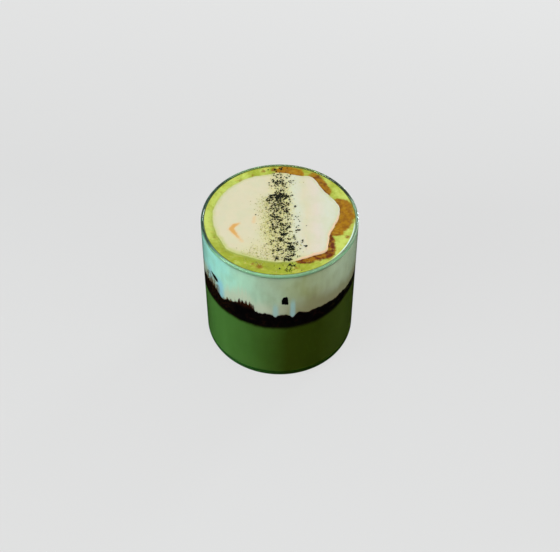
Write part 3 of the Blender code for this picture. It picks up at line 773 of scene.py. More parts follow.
@dataclass(frozen=True)
class CapFinish:
    """The cream's top: ivory, with soft bands, a peach edge, two caramel marks, a haze of powder, and painted
    shade on its rolled edge at the left and the front.
    """

    ivory: Colour = srgb(221, 209, 180)
    cool: Colour = srgb(217, 216, 196)
    rose: Colour = srgb(224, 210, 194)
    green_cast: Colour = srgb(210, 208, 174)
    haze: Colour = srgb(218, 210, 134)
    green_edge: Colour = srgb(190, 194, 112)
    # The colour of painted shade on the cap's rolled edge, which dulls the light that catches it
    edge_shade: Colour = srgb(146, 152, 64)
    caramel: Colour = srgb(222, 160, 76)
    pale_caramel: Colour = srgb(232, 192, 138)
    peach: Colour = srgb(238, 196, 158)
    bubble_tint: Colour = (0.86, 0.82, 0.72)
    gloss: float = 0.12

    def material(self, effects: SharedEffects, reach: float) -> bpy.types.Material:
        """Builds the finish."""
        paint, shader, made = new_material("cream_cap")
        place = paint.position()
        share = paint.use(effects.across, Position=place, Reach=reach, Uneven=0.10).outputs["Share"]
        cream = paint.ramp(share, (
            (0.52, self.ivory), (0.60, self.cool), (0.66, self.ivory), (0.73, self.rose), (0.80, self.cool)))
        patches = paint.rise(paint.noise(place, 130.0, detail=3.0), 0.44, 0.64)
        cream = paint.over(cream, self.green_cast, patches, 0.35)
        foam = paint.use(effects.foam, Position=place, Fineness=1500.0)
        cream = paint.over(cream, self.bubble_tint, foam.outputs["Rims"], 0.12, Blend.MULTIPLY)
        grain = paint.rise(paint.noise(place, 1900.0, detail=3.0, roughness=0.7), 0.38, 0.60)
        dusted = paint.times(paint.measure("powder"), paint.plus(grain, 0.5))
        cream = paint.mix(dusted, cream, self.haze)
        tinted = paint.stained(effects.stain, "green_edge_mm", Fineness=420.0, Ragged=1.2, Softness=1.7)
        cream = paint.over(cream, self.green_edge, tinted, 0.8)
        # Painted shade on the rolled edge where the light from the left catches it
        cream = paint.mix(paint.measure("lit_edge"), cream, self.edge_shade)
        edge = paint.stained(effects.stain, "peach_mm", Fineness=900.0, Ragged=0.35, Softness=0.45)
        cream = paint.over(cream, self.peach, edge, 0.8)
        mark = paint.stained(effects.stain, "caramel_mm", Fineness=520.0, Ragged=0.7, Softness=1.0)
        cream = paint.over(cream, self.pale_caramel, mark, 0.7)
        core = paint.times(paint.rise(mark, 0.70, 1.0), paint.measure("caramel_core"))
        cream = paint.over(cream, self.caramel, core, 0.8)
        paint.fill(
            shader, Base_Color=cream, Roughness=paint.rise(foam.outputs["Height"], -1.5, 3.0),
            Normal=paint.raised(foam.outputs["Height"], 0.00012, strength=0.5), Specular_IOR_Level=self.gloss,
            Subsurface_Weight=0.15, Subsurface_Radius=(0.0016, 0.0011, 0.0007))
        return made


@dataclass(frozen=True)
class FilmFinish:
    """The thin film on top, lime where it is tea and brown where coffee has swirled in, with a painted
    highlight and painted dark reflections where it meets the glass.
    """

    lime: Colour = srgb(204, 216, 104)
    deep_lime: Colour = srgb(164, 172, 48)
    olive: Colour = srgb(134, 138, 40)
    straw: Colour = srgb(208, 194, 92)
    rust: Colour = srgb(140, 84, 8)
    brown: Colour = srgb(178, 124, 0)
    honey: Colour = srgb(206, 172, 48)
    dark_brown: Colour = srgb(104, 38, 0)
    cream: Colour = srgb(200, 202, 128)
    dark_line: Colour = srgb(20, 44, 12)
    side_line: Colour = srgb(104, 112, 40)
    mint: Colour = srgb(178, 222, 176)
    # The colour of a painted highlight on the film near the glass
    wet: Colour = srgb(226, 248, 242)
    bubble_tint: Colour = (0.78, 0.80, 0.55)
    gloss: float = 0.25

    def material(self, effects: SharedEffects, name: str, wall_low: float,
                 wall_high: float) -> bpy.types.Material:
        """Builds the finish.

        Args:
            effects: the shared groups.
            name: the material's name.
            wall_low: the height on the wall up to which the film shows as a dark line.
            wall_high: the height on the wall above which it is mint.
        """
        paint, shader, made = new_material(name)
        place = paint.position()
        slow = paint.noise(place, 170.0, detail=5.0, roughness=0.62)
        depth = paint.plus(paint.times(slow, 1.4), paint.measure("lime_depth"))
        lime = paint.mix(paint.rise(depth, 0.75, 1.25), self.lime, self.deep_lime)
        lime = paint.mix(paint.rise(depth, 1.25, 1.75), lime, self.olive)
        flecks = paint.rise(paint.noise(place, 620.0, detail=4.0), 0.58, 0.70)
        lime = paint.over(lime, self.olive, flecks, 0.45)
        straw = paint.rise(paint.noise(paint.scaled(place, (1.0, 2.2, 1.0)), 190.0, detail=5.0), 0.53, 0.70)
        lime = paint.over(lime, self.straw, straw, 0.65)
        rusty = paint.stained(effects.stain, "rust_mm", Fineness=340.0, Ragged=2.4, Softness=0.9)
        lime = paint.over(lime, self.rust, rusty, 0.85)
        foam = paint.use(effects.foam, Position=place, Fineness=1900.0)
        lime = paint.over(lime, self.bubble_tint, foam.outputs["Rims"], 0.35, Blend.MULTIPLY)
        paling = paint.stained(effects.stain, "near_cap_mm", Fineness=420.0, Ragged=0.8, Softness=1.1)
        lime = paint.over(lime, self.cream, paling, 0.35)
        mottle = paint.rise(paint.noise(place, 420.0, detail=5.0), 0.40, 0.64)
        mottle = paint.times(paint.plus(mottle, 0.35), paint.measure("swirl_dark"))
        brown = paint.mix(mottle, self.brown, self.dark_brown)
        wisps = paint.rise(paint.noise(paint.scaled(place, (0.6, 1.6, 1.0)), 300.0, detail=5.0), 0.55, 0.72)
        brown = paint.over(brown, self.honey, wisps, 0.55)
        where = paint.stained(effects.stain, "in_swirl_mm", Fineness=300.0, Ragged=2.2, Softness=0.9)
        top = paint.mix(where, lime, brown)
        inside = paint.measure("inside_ring_mm")
        # The line round the film's edge by the glass, painted darkest on the left and at the right back as
        # the rim's dark reflection there
        line = paint.mix(paint.measure("dark_rim"), self.side_line, self.dark_line)
        top = paint.mix(paint.rise(inside, 0.42, 0.16), top, line)
        # A painted highlight: a pale line on the film just inside the glass, on the right towards the front,
        # in place of the rim's reflection of a lamp
        shine = paint.times(paint.rise(inside, 0.95, 0.65), paint.rise(inside, 0.10, 0.30))
        top = paint.mix(paint.times(shine, paint.measure("wet_edge")), top, self.wet)
        # The film's side seen through the glass: mint in front, painted dark olive at the back as the rim's
        # dark reflection there, over a dark line below
        at_back = paint.rise(paint.axis(place, "Y"), -0.004, 0.012)
        band = paint.mix(at_back, self.mint, self.side_line)
        band = paint.mix(paint.rise(paint.axis(place, "Z"), wall_low, wall_high), self.dark_line, band)
        paint.fill(
            shader, Base_Color=paint.mix(paint.rise(inside, -0.02, -0.12), top, band),
            Roughness=paint.rise(foam.outputs["Height"], -1.0, 3.5), Specular_IOR_Level=self.gloss,
            Normal=paint.raised(foam.outputs["Height"], 0.00010, strength=0.45))
        return made


@dataclass(frozen=True)
class PowderFinish:
    """Dry tea powder, each grain its own shade."""

    name: str
    dark: Colour
    light: Colour
    crumb_tint: Colour = (0.6, 0.6, 0.5)

    def material(self) -> bpy.types.Material:
        """Builds the finish."""
        paint, shader, made = new_material(self.name)
        place = paint.position()
        crumb = paint.noise(place, 5200.0, detail=2.0)
        shade = paint.mix(paint.measure("shade"), self.dark, self.light)
        shade = paint.mix(paint.rise(crumb, 0.35, 0.65), shade, self.crumb_tint, Blend.MULTIPLY)
        paint.fill(
            shader, Base_Color=shade, Normal=paint.raised(crumb, 0.00006, strength=0.6), Roughness=0.92,
            Specular_IOR_Level=0.2)
        return made


@dataclass
class GlassTumbler:
    """The straight tumbler: a turned wall with a round lip, and a foot round a shallow punt."""

    outline: Outline
    outer_corner: float = 0.0032
    inner_corner: float = 0.0030
    foot_inner: float = 0.0290
    punt_radius: float = 0.0270
    punt_depth: float = 0.0008
    segments: int = 288
    arc_points: int = 18
    wall_rings: int = 24
    # How dark the painted reflection on the rim's outer edge is at the back and in front
    back_edge: float = 0.86
    front_edge: float = 0.4

    def build(self, effects: SharedEffects) -> bpy.types.Object:
        """Turns the glass and dresses it."""
        shape = self.outline
        mesh = RingMesh(self.segments)
        inner, outer, lip, arc = self.inner_corner, self.outer_corner, shape.wall / 2, self.arc_points
        mesh.arc((shape.inner - inner, shape.foot + inner), inner, -90, 0, arc)
        mesh.wall(shape.inner, shape.foot + inner, shape.height - lip, self.wall_rings)
        mesh.arc((shape.radius - lip, shape.height - lip), lip, 180, 0, arc)
        mesh.wall(shape.radius, shape.height - lip, outer, self.wall_rings)
        mesh.arc((shape.radius - outer, outer), outer, 0, -90, arc)
        mesh.add(self.foot_inner, 0.0)
        for share in (0.33, 0.67, 1.0):
            rise = self.punt_depth * (0.5 - 0.5 * math.cos(math.pi * share))
            mesh.add(self.foot_inner + (self.punt_radius - self.foot_inner) * share, rise)
        made = mesh.build("tumbler", shape.foot, self.punt_depth)
        self._mark_rim(made)
        return dress(made, GlassFinish().material(effects), "glass", "glass")

    def _mark_rim(self, made: bpy.types.Object) -> None:
        """Keeps where dark reflections are painted on the rim, and where lime is painted on it as if the film
        behind showed through.
        """
        x, y, z = coordinates(made)
        degrees = degrees_of(x, y)
        across = (np.hypot(x, y) - self.outline.inner) / self.outline.wall
        lip = smoothstep(z, self.outline.height - 0.0015, self.outline.height - 0.0010)
        back = plateau(degrees, 20.0, 48.0, 138.0, 165.0)
        left = plateau(degrees, 118.0, 138.0, 205.0, 235.0)
        right = plateau(degrees, 16.0, 24.0, 46.0, 60.0)
        front = plateau(degrees, 215.0, 240.0, 300.0, 322.0)
        outer = smoothstep(across, 0.62, 0.78)
        inner = np.maximum(
            plateau(across, 0.02, 0.10, 0.60, 0.80), left * plateau(across, 0.02, 0.10, 0.85, 1.0))
        # Painted dark reflections on the rim: its outer edge at the back and in front, its inner part on the
        # left and at the right back
        edge = self.front_edge * front * smoothstep(across, 0.80, 0.95)
        dark = np.maximum(self.back_edge * back * outer, np.maximum(left, right) * inner)
        hold(made, rim_dark=lip * np.maximum(dark, edge), rim_lime=lip * back * (1.0 - outer))


@dataclass(frozen=True)
class Pocket:
    """A pocket of coffee that the cream has trapped against the glass, and the solid that it stands for."""

    name: str
    node: str
    bearing: float
    height: float
    width: float
    tall: float
    slant: float = 0.0


@dataclass
class Layers:
    """The tea, the coffee and the cream behind the glass."""

    outline: Outline
    curves: DrinkShape
    segments: int = 900
    face_rings: tuple[tuple[float, float], ...] = ((1.0, 1.0), (0.955, 0.42), (0.84, 0.0))
    corner: float = 0.0030
    corner_rings: int = 8
    tea_rings: int = 40
    coffee_rings: int = 22
    cream_rings: int = 56
    # Runs of paler cream: bearing and half width in degrees, top, and strength
    run_stripes: tuple[tuple[float, float, float, float], ...] = (
        (-50.0, 5.5, 0.0640, 0.9), (-63.0, 5.0, 0.0660, 0.7), (-3.0, 2.8, 0.0600, 0.75),
        (9.6, 2.6, 0.0630, 0.9), (88.0, 3.0, 0.0640, 0.6), (152.0, 3.5, 0.0620, 0.7),
        (235.0, 3.0, 0.0660, 0.6),
    )
    run_foot: float = 0.047
    # A duller patch of cream: the bearing and height of its middle, its reach both ways, and its strength
    dull_middle: tuple[float, float] = (28.0, 0.0575)
    dull_reach: tuple[float, float] = (13.0, 0.0055)
    dullness: float = 0.7
    pockets: tuple[Pocket, ...] = (
        Pocket("pocket_front", "coffee_pocket_front", 3.9, 0.0604, 0.0031, 0.0056),
        Pocket("pocket_left", "coffee_pocket_left", -56.0, 0.0592, 0.0048, 0.0034, -0.8),
    )

    def build(self, effects: SharedEffects) -> None:
        """Builds the three layers."""
        self._tea(effects)
        self._coffee(effects)
        self._cream(effects)
        self._pockets(effects)

    def _face(self, mesh: RingMesh, at_wall: Array, level: float, outwards: bool) -> None:
        """Adds the rings of a face between two layers."""
        rings = self.face_rings[::-1] if outwards else self.face_rings
        for fraction, share in rings:
            mesh.add(self.outline.drink * fraction, level + (at_wall - level) * share)

    def _tea(self, effects: SharedEffects) -> None:
        """The tea, which fills the foot of the glass."""
        shape = self.outline
        mesh = RingMesh(self.segments)
        low = shape.foot - shape.reach
        mesh.arc((shape.drink - self.corner, low + self.corner), self.corner, -90, 0, self.corner_rings)
        edge = self.curves.tea_top(mesh.angles)
        mesh.wall(shape.drink, low + self.corner, edge, self.tea_rings)
        self._face(mesh, edge, shape.tea_top, outwards=False)
        made = mesh.build("tea", low, shape.tea_top)
        x, y, z = coordinates(made)
        hold(made, below_coffee_mm=(self.curves.tea_top(np.arctan2(y, x)) - z) / MM)
        dress(made, TeaFinish().material(effects, shape.radius), "matcha", "matcha")

    def _coffee(self, effects: SharedEffects) -> None:
        """The band of coffee."""
        shape = self.outline
        mesh = RingMesh(self.segments)
        low, high = self.curves.tea_top(mesh.angles), self.curves.coffee_top(mesh.angles)
        self._face(mesh, low, shape.tea_top, outwards=True)
        mesh.wall(shape.drink, low, high, self.coffee_rings)
        self._face(mesh, high, shape.coffee_top, outwards=False)
        made = mesh.build("coffee_band", shape.tea_top, shape.coffee_top)
        x, y, z = coordinates(made)
        above_tea = z - self.curves.tea_top(np.arctan2(y, x))
        hold(made, above_tea_mm=above_tea / MM, climb_mm=(z - shape.coffee_top) / MM)
        dress(made, CoffeeFinish().material(effects), "coffee", "coffee")

    def _cream(self, effects: SharedEffects) -> None:
        """The cream's body, up to the ledge that the film lies on."""
        shape = self.outline
        mesh = RingMesh(self.segments)
        low = self.curves.coffee_top(mesh.angles)
        ledge = shape.surface - shape.ledge_drop
        self._face(mesh, low, shape.coffee_top, outwards=True)
        mesh.wall(shape.drink, low, ledge, self.cream_rings)
        mesh.add(shape.drink, ledge)
        mesh.add(shape.drink * 0.7, ledge)
        made = mesh.build("cream_body", shape.coffee_top, ledge)
        x, y, z = coordinates(made)
        angle = np.arctan2(y, x)
        bearing = bearing_of(angle)
        round_by, up_by = apart(bearing, self.dull_middle[0]), z - self.dull_middle[1]
        off = np.hypot(round_by / self.dull_reach[0], up_by / self.dull_reach[1])
        hold(
            made, above_coffee_mm=(z - self.curves.coffee_top(angle)) / MM,
            fringe_zone=self.curves.fringe_zone(bearing), run=self._run_mask(bearing, z),
            dull_patch=self.dullness * np.exp(-off * off))
        dress(made, WallCreamFinish().material(effects, shape.radius), "cream", "cream")

    def _run_mask(self, bearing: Array, height: Array) -> Array:
        """Where paler cream has run down the glass: tapering stripes above the tips of the runs."""
        mask = np.zeros_like(bearing)
        for centre, half, top, strength in self.run_stripes:
            taper = np.clip((top - height) / (top - self.run_foot), 0.0, 1.0)
            width = half * (0.5 + 0.5 * np.sqrt(taper))
            fade = strength * smoothstep(top - height, 0.0, 0.006)
            beside = smoothstep(apart(bearing, centre), 0.3 * width, 1.3 * width)
            mask = np.maximum(mask, fade * (1.0 - beside))
        return mask

    def _pockets(self, effects: SharedEffects) -> None:
        """The pockets of coffee that the cream has trapped against the glass."""
        finish = CoffeeFinish().material(effects)
        finish.name = "pocket_coffee"
        for pocket in self.pockets:
            points, faces = self._pillow(pocket)
            made = make_object(pocket.name, points, faces)
            hold(made, above_tea_mm=np.full(len(points), 9.0), climb_mm=np.full(len(points), -2.0))
            dress(made, finish, "coffee", pocket.node)

    def _pillow(self, pocket: Pocket) -> tuple[Array, list]:
        """A ragged pillow whose outer face follows the wall, from rings that start at that face's middle."""
        sides = 48
        middle = math.radians(pocket.bearing - 90.0)
        turn = np.arange(sides) * math.tau / sides
        ragged = 1.0 + 0.10 * np.sin(3 * turn + pocket.bearing)
        ragged += 0.06 * np.sin(7 * turn) + 0.04 * np.sin(11 * turn)
        squarer = 1.0 / np.maximum(np.abs(np.cos(turn)), np.abs(np.sin(turn))) ** 0.6
        face = [(share, 0.00005) for share in (0.05, 0.35, 0.7, 1.0)]
        back = [(0.96, -0.0003), (0.85, -0.0006), (0.6, -0.0009), (0.05, -0.0011)]
        points = []
        for share, depth in face + back:
            across = 0.5 * pocket.width * share * ragged * squarer * np.cos(turn)
            up = 0.5 * pocket.tall * share * ragged * squarer * np.sin(turn)
            angle = middle + (across + pocket.slant * up) / self.outline.drink
            points.append(polar(self.outline.drink + depth, angle, pocket.height + up))
        index = np.arange(len(points) * sides).reshape(len(points), sides)
        faces = RingMesh.between(index[:-1], index[1:]).tolist()
        return np.concatenate(points), faces + [index[0][::-1].tolist(), index[-1].tolist()]


@dataclass
class Cap:
    """The cream's proud top, with a rolled edge."""

    outline: Outline
    curves: DrinkShape
    segments: int = 600
    top_rings: int = 70
    roll: float = 0.0007
    roll_rings: int = 8
    core_fades: tuple[float, float] = (-0.0222, -0.0180)
    sunk: float = 0.0002
    # Caramel marks: the points of each path, and its half width at each, in millimetres
    caramel_marks: tuple = (
        (((-19.8, -3.8), (-22.4, -5.6), (-23.6, -7.6)), (0.7, 1.5, 1.7)),
        (((-23.6, -7.6), (-21.6, -11.2), (-18.2, -16.2)), (1.7, 1.2, 0.7)),
        (((-12.5, 0.2), (-12.7, -3.2)), (0.7, 0.7)),
    )

    def build(self, effects: SharedEffects, powder: "PowderLine") -> None:
        """Builds the cap and marks it."""
        shape = self.outline
        mesh = RingMesh(self.segments)
        edge = self.curves.cap_radius(mesh.angles)
        base = shape.surface - shape.ledge_drop - self.sunk
        mesh.add(edge, base)
        for angle in np.radians(np.linspace(0, 90, self.roll_rings)):
            inset = self.roll * (1.0 - math.cos(angle))
            self._top_ring(mesh, edge - inset, self.roll * (1.0 - math.sin(angle)))
        for share in np.linspace(1.0, 0.0, self.top_rings)[1:-1]:
            self._top_ring(mesh, (edge - self.roll) * share, 0.0)
        middle = float(self.curves.cap_height(np.zeros(1), np.zeros(1))[0])
        made = mesh.build("cream_cap", base, middle)
        x, y, _ = coordinates(made)
        # Where shade is painted on the rolled edge: at the left and the front
        lit = plateau(degrees_of(x, y), 150.0, 200.0, 272.0, 290.0)
        hold(
            made, powder=powder.haze(x, y), caramel_mm=self._caramel(x, y),
            caramel_core=1.0 - smoothstep(x, *self.core_fades),
            lit_edge=0.9 * lit * smoothstep(self.curves.off_cap_mm(x, y), -0.50, -0.15),
            peach_mm=self._peach(x, y), green_edge_mm=self._green_edge(x, y))
        dress(made, CapFinish().material(effects, shape.radius), "cream")

    def _top_ring(self, mesh: RingMesh, radius: Array, drop: float) -> None:
        """Adds a ring that lies on the cap's upper face, lowered by drop."""
        x, y = radius * np.cos(mesh.angles), radius * np.sin(mesh.angles)
        mesh.add(radius, self.curves.cap_height(x, y) - drop)

    def _caramel(self, x: Array, y: Array) -> Array:
        """How far inside a caramel mark each point is, in millimetres, and negative outside."""
        best = np.full_like(x, -5.0)
        for path, widths in self.caramel_marks:
            for start, end, w0, w1 in zip(path, path[1:], widths, widths[1:]):
                (x0, y0), (x1, y1) = np.array(start) * MM, np.array(end) * MM
                dx, dy = x1 - x0, y1 - y0
                along = np.clip(((x - x0) * dx + (y - y0) * dy) / (dx * dx + dy * dy), 0.0, 1.0)
                away = np.hypot(x - x0 - along * dx, y - y0 - along * dy) / MM
                best = np.maximum(best, w0 + (w1 - w0) * along - away)
        return best

    def _green_edge(self, x: Array, y: Array) -> Array:
        """How far inside the green tint round the cap's edge each point is; the swirls' side has none."""
        angle = np.arctan2(y, x)
        inside_edge = 0.9 + 0.9 * bump(apart(bearing_of(angle), -42.0), 45.0) + self.curves.off_cap_mm(x, y)
        stained, _ = self.curves.stain(x, y)
        return np.minimum(inside_edge, -1.2 - stained)

    def _peach(self, x: Array, y: Array) -> Array:
        """How far inside the peach edge line each point is, in millimetres; it is on the right only."""
        angle = np.arctan2(y, x)
        degrees = np.degrees(angle)
        away = (self.curves.cap_radius(angle) - np.hypot(x, y)) / MM
        width = 0.75 * plateau(degrees, -82.0, -66.0, -4.0, 14.0)
        return width - np.abs(away - 0.35) - 0.25


@dataclass
class Film:
    """The thin film between the cap and the glass: the tea's wash, and the swirls of coffee on it."""

    outline: Outline
    curves: DrinkShape
    segments: int = 600
    depth: float = 0.0013
    under_cap: float = 0.0003
    sunk: float = 0.0004
    wash_rings: int = 26
    swirl_columns: int = 90
    swirl_rows: int = 14
    swirl_crown: float = 0.00016
    swirl_depth: float = 0.0003
    swirl_sunk: float = 0.00004
    swirl_under_cap: float = 0.0002
    creep_reach: float = 0.0008
    # Brown spots in the wash: across and along in millimetres, and radius
    rust_spots: tuple[tuple[float, float, float], ...] = (
        (-9.5, -31.4, 1.5), (-12.8, -30.2, 0.8), (-20.3, 27.4, 0.5), (-8.0, 34.4, 0.9), (-3.0, 35.3, 1.3),
        (-31.9, -12.8, 0.3), (1.2, 35.8, 1.4), (8.0, -33.0, 0.7), (33.0, -12.5, 0.8), (-14.0, 31.5, 0.2),
    )
    # How deep the wash's green is, by bearing
    lime_depths: tuple[tuple[float, float], ...] = (
        (-180.0, 0.45), (-140.0, 0.30), (-90.0, 0.12), (-65.0, 0.35), (-40.0, 0.48), (-10.0, 0.65),
        (15.0, 0.55), (45.0, 0.15), (90.0, 0.25), (180.0, 0.45),
    )

    def build(self, effects: SharedEffects) -> None:
        """Builds the wash and the swirls."""
        shape = self.outline
        levels = (shape.surface - 1.05 * self.depth, shape.surface - 0.75 * self.depth)
        self._wash(FilmFinish().material(effects, "green_wash", *levels))
        finish = FilmFinish().material(effects, "brown_swirl", *levels)
        for name, start, end, breadth in self.curves.SWIRLS:
            self._swirl(name, start, end, breadth, finish)

    def _height(self, radius: Array, ripple: Array) -> Array:
        """The film's level: flat, with a faint ripple, and creeping up the glass."""
        shape = self.outline
        creep = shape.wash_creep * np.exp(-(shape.inner - radius).clip(0.0) / self.creep_reach)
        return shape.surface + np.minimum(creep, shape.wash_creep) + ripple

    def _wash(self, finish: bpy.types.Material) -> None:
        """The ring of green wash, which runs on under the cap's rolled edge."""
        shape = self.outline
        mesh = RingMesh(self.segments)
        inner = self.curves.cap_radius(mesh.angles) - self.under_cap
        floor = shape.surface - self.depth - self.sunk
        ripple = 0.00004 * np.sin(41 * mesh.angles) + 0.00003 * np.sin(67 * mesh.angles + 1.0)
        mesh.add(inner, floor)
        for share in np.linspace(0.0, 1.0, self.wash_rings):
            radius = inner + (shape.drink - inner) * share
            mesh.add(radius, self._height(radius, ripple * math.sin(math.pi * share)))
        for share in (0.25, 0.5, 0.75, 1.0):
            mesh.add(shape.drink, shape.surface + shape.wash_creep + (floor - shape.surface) * share)
        made = mesh.build("tea_wash", None, None)
        self._mark(made)
        dress(made, finish, "wash", "matcha_wash")

    def _swirl(self, node: str, start: float, end: float, breadth: float,
               finish: bpy.types.Material) -> None:
        """A swirl of coffee, a thin lens on the wash."""
        columns, rows = self.swirl_columns, self.swirl_rows
        angles = np.radians(np.linspace(start + 0.5, end - 0.5, columns))
        inner, outer = self.curves.swirl_limits(angles, start, end, breadth)
        inner = inner - self.swirl_under_cap
        top, bottom = [], []
        for share in np.linspace(0.0, 1.0, rows):
            radius = inner + (outer - inner) * share
            crown = self.swirl_crown * math.sin(math.pi * share) ** 0.7
            ends = np.sin(np.pi * np.linspace(0.0, 1.0, columns)) ** 0.4
            base = self._height(radius, np.zeros(columns)) - self.swirl_sunk
            top.append(polar(radius, angles, base + crown * ends))
            bottom.append(polar(radius, angles, base - self.swirl_depth))
        points = np.concatenate(top + bottom)
        index = np.arange(rows * columns).reshape(rows, columns)
        corners = [index[:-1, :-1], index[:-1, 1:], index[1:, 1:], index[1:, :-1]]
        faces = np.stack(corners, axis=-1).reshape(-1, 4)
        below = faces[:, ::-1] + rows * columns
        rim = np.concatenate([index[0, :-1], index[:-1, -1], index[-1, :0:-1], index[:0:-1, 0]])
        sides = [[int(a), int(b), int(b) + rows * columns, int(a) + rows * columns]
                 for a, b in zip(rim, np.roll(rim, -1))]
        made = make_object(node.replace("coffee_", ""), points, faces.tolist() + below.tolist() + sides)
        self._mark(made)
        dress(made, finish, "swirl", node)

    def _mark(self, made: bpy.types.Object) -> None:
        """Keeps where the film is stained, rusty or pale, where a dark reflection is painted at its rim, and
        where a highlight is painted near the glass, for its finish to read.
        """
        x, y, _ = coordinates(made)
        stained, dark = self.curves.stain(x, y)
        rust = np.full_like(x, -5.0)
        for across, along, size in self.rust_spots:
            rust = np.maximum(rust, size - np.hypot(x - across * MM, y - along * MM) / MM)
        degrees = degrees_of(x, y)
        # Where the rim's dark reflection is painted on the film's edge: the left and the right back
        left, right = plateau(degrees, 108.0, 135.0, 225.0, 300.0), plateau(degrees, 18.0, 26.0, 46.0, 58.0)
        hold(
            made, in_swirl_mm=stained, swirl_dark=dark, rust_mm=rust,
            near_cap_mm=np.minimum(0.2 - self.curves.off_cap_mm(x, y), -0.4 - stained),
            inside_ring_mm=(self.outline.inner - np.hypot(x, y)) / MM, dark_rim=np.maximum(left, right),
            # The painted highlight lies on the right, a little towards the front
            wet_edge=0.85 * plateau(degrees, 304.0, 326.0, 348.0, 359.0),
            lime_depth=np.interp(bearing_of(np.arctan2(y, x)), *zip(*self.lime_depths)))


class Grain(Enum):
    """The kinds of powder grain: the finest dust, single specks, and the specks that make up lumps."""

    DUST = "dust"
    SPECK = "speck"
    LUMP = "lump"


@dataclass
class PowderLine:
    """The line of tea powder across the top, with its lumps and stray dust."""

    outline: Outline
    curves: DrinkShape
    seed: int = 11
    back: tuple[float, float] = (-0.0002, 0.0362)
    front: tuple[float, float] = (0.0052, -0.0350)
    # Lumps: across, along and spread in millimetres, and how many grains
    clusters: tuple[tuple[float, float, float, int], ...] = (
        (-1.7, 14.8, 1.4, 56), (0.8, 14.6, 1.4, 30), (-0.9, 12.4, 1.6, 28), (-4.8, 13.6, 1.0, 12),
        (3.4, 14.4, 0.8, 8), (-1.7, 24.6, 0.9, 14), (0.8, 25.0, 0.9, 14), (3.8, 28.6, 0.4, 5),
        (0.5, 9.6, 1.0, 14), (0.8, 7.4, 0.8, 10), (3.2, 4.8, 0.9, 16), (-2.2, 0.2, 1.3, 18),
        (0.4, -1.2, 0.9, 9), (-3.6, -5.4, 0.8, 9), (4.6, -6.5, 0.7, 10), (0.2, -4.0, 0.8, 7),
        (2.0, -11.6, 1.0, 20), (0.8, -14.8, 0.8, 10), (4.8, -17.2, 0.9, 12), (5.8, -20.6, 1.2, 24),
        (-0.9, -22.0, 0.6, 7), (8.2, -17.2, 0.4, 4), (-1.6, -26.8, 0.6, 7), (3.6, -26.8, 1.0, 12),
        (6.3, -24.6, 0.6, 8), (12.9, -19.4, 0.35, 8), (7.7, 7.7, 0.30, 3), (9.1, -8.5, 0.35, 4),
        (11.4, -15.6, 0.25, 3), (1.0, 36.3, 0.5, 5), (-2.2, 35.4, 0.4, 3), (6.3, -31.2, 0.6, 4),
        (1.2, 19.4, 1.2, 7), (-2.2, 8.6, 1.0, 9), (-1.6, 5.4, 0.9, 8), (-3.4, 1.8, 0.9, 7),
        (-3.0, -9.0, 1.2, 10),
    )
    # Along the line from the front: the place, how thick the powder is there, and how far left it sways
    thickness: tuple[tuple[float, float, float], ...] = (
        (-35.0, 0.5, 0.0), (-20.0, 1.0, -0.4), (-8.0, 1.25, -1.5), (3.0, 1.1, -1.3), (13.5, 1.5, -1.0),
        (19.0, 0.7, -0.6), (26.0, 0.7, -0.2), (36.0, 0.3, -0.2),
    )
    # Dust that has drifted: how many grains, from where to where along the line, and how far from it they
    # lie and spread, in millimetres
    drifted: int = 1100
    drift_span: tuple[float, float] = (-0.029, 0.015)
    drift_off: tuple[float, float] = (-6.3, 3.2)
    # Dust in front on the left: how many grains, and the middle and spread of their x and of their y
    in_front: int = 260
    front_x: tuple[float, float] = (-0.0110, 0.0045)
    front_y: tuple[float, float] = (-0.0250, 0.0035)
    # The least and greatest radii
    dust_radius: tuple[float, float] = (0.00016, 0.00028)
    drifted_radius: tuple[float, float] = (0.00011, 0.00028)
    lump_radius: tuple[float, float] = (0.00020, 0.00048)
    # How far grains keep from the glass and from the cap's edge, in millimetres
    edge_gap_mm: float = 0.6
    dust_flatness: float = 0.8
    flatness: float = 0.6
    fine: PowderFinish = PowderFinish("fine_powder", srgb(128, 120, 24), srgb(248, 242, 168))
    coarse: PowderFinish = PowderFinish("coarse_powder", srgb(5, 7, 2), srgb(60, 58, 10))
    lumped: PowderFinish = PowderFinish("lumped_powder", srgb(8, 10, 5), srgb(36, 40, 18))

    def __post_init__(self) -> None:
        """Starts the seeded draw."""
        self.draw = np.random.default_rng(self.seed)

    def haze(self, x: Array, y: Array) -> Array:
        """How thickly the finest dust lies, from 0 to 1: dense along the line and drifting to its left."""
        off = (x - self._middle(y)) / MM
        dense = 0.8 * np.exp(-((off / 5.8) ** 4))
        drift = 0.62 * np.exp(-(((off + 6.5) / 5.0) ** 2)) * smoothstep(-y, -0.020, -0.008)
        front = 0.40 * np.exp(-(((x + 0.011) / 0.009) ** 2) - ((y + 0.024) / 0.009) ** 2)
        spots = 0.75 + 0.25 * np.sin(180.0 * x + 40.0 * y) * np.sin(150.0 * y)
        return np.clip(np.maximum(np.maximum(0.85 * dense, drift), front) * spots, 0.0, 1.0)

    def _middle(self, y: Array) -> Array:
        """The line's middle at each y: straight, with a slow sway to the left."""
        (x0, y0), (x1, y1) = self.back, self.front
        straight = x0 + (x1 - x0) * (y - y0) / (y1 - y0)
        places, _, sway = zip(*self.thickness)
        return straight + np.interp(y, np.array(places) * MM, np.array(sway) * MM)

    def build(self) -> None:
        """Builds the dust, the specks and the lumps."""
        self._scatter("powder_dust", Grain.DUST, self._dust(), self.fine)
        self._scatter("powder_specks", Grain.SPECK, self._specks(), self.coarse)
        self._scatter("powder_lumps", Grain.LUMP, self._lumps(), self.lumped)

    def _along(self, count: int) -> Array:
        """Random places along the line, more of them where it is thick."""
        places, thick, _ = zip(*self.thickness)
        fine = np.linspace(places[0], places[-1], 500)
        reached = np.cumsum(np.interp(fine, places, thick))
        return np.interp(self.draw.random(count), reached / reached[-1], fine) * MM

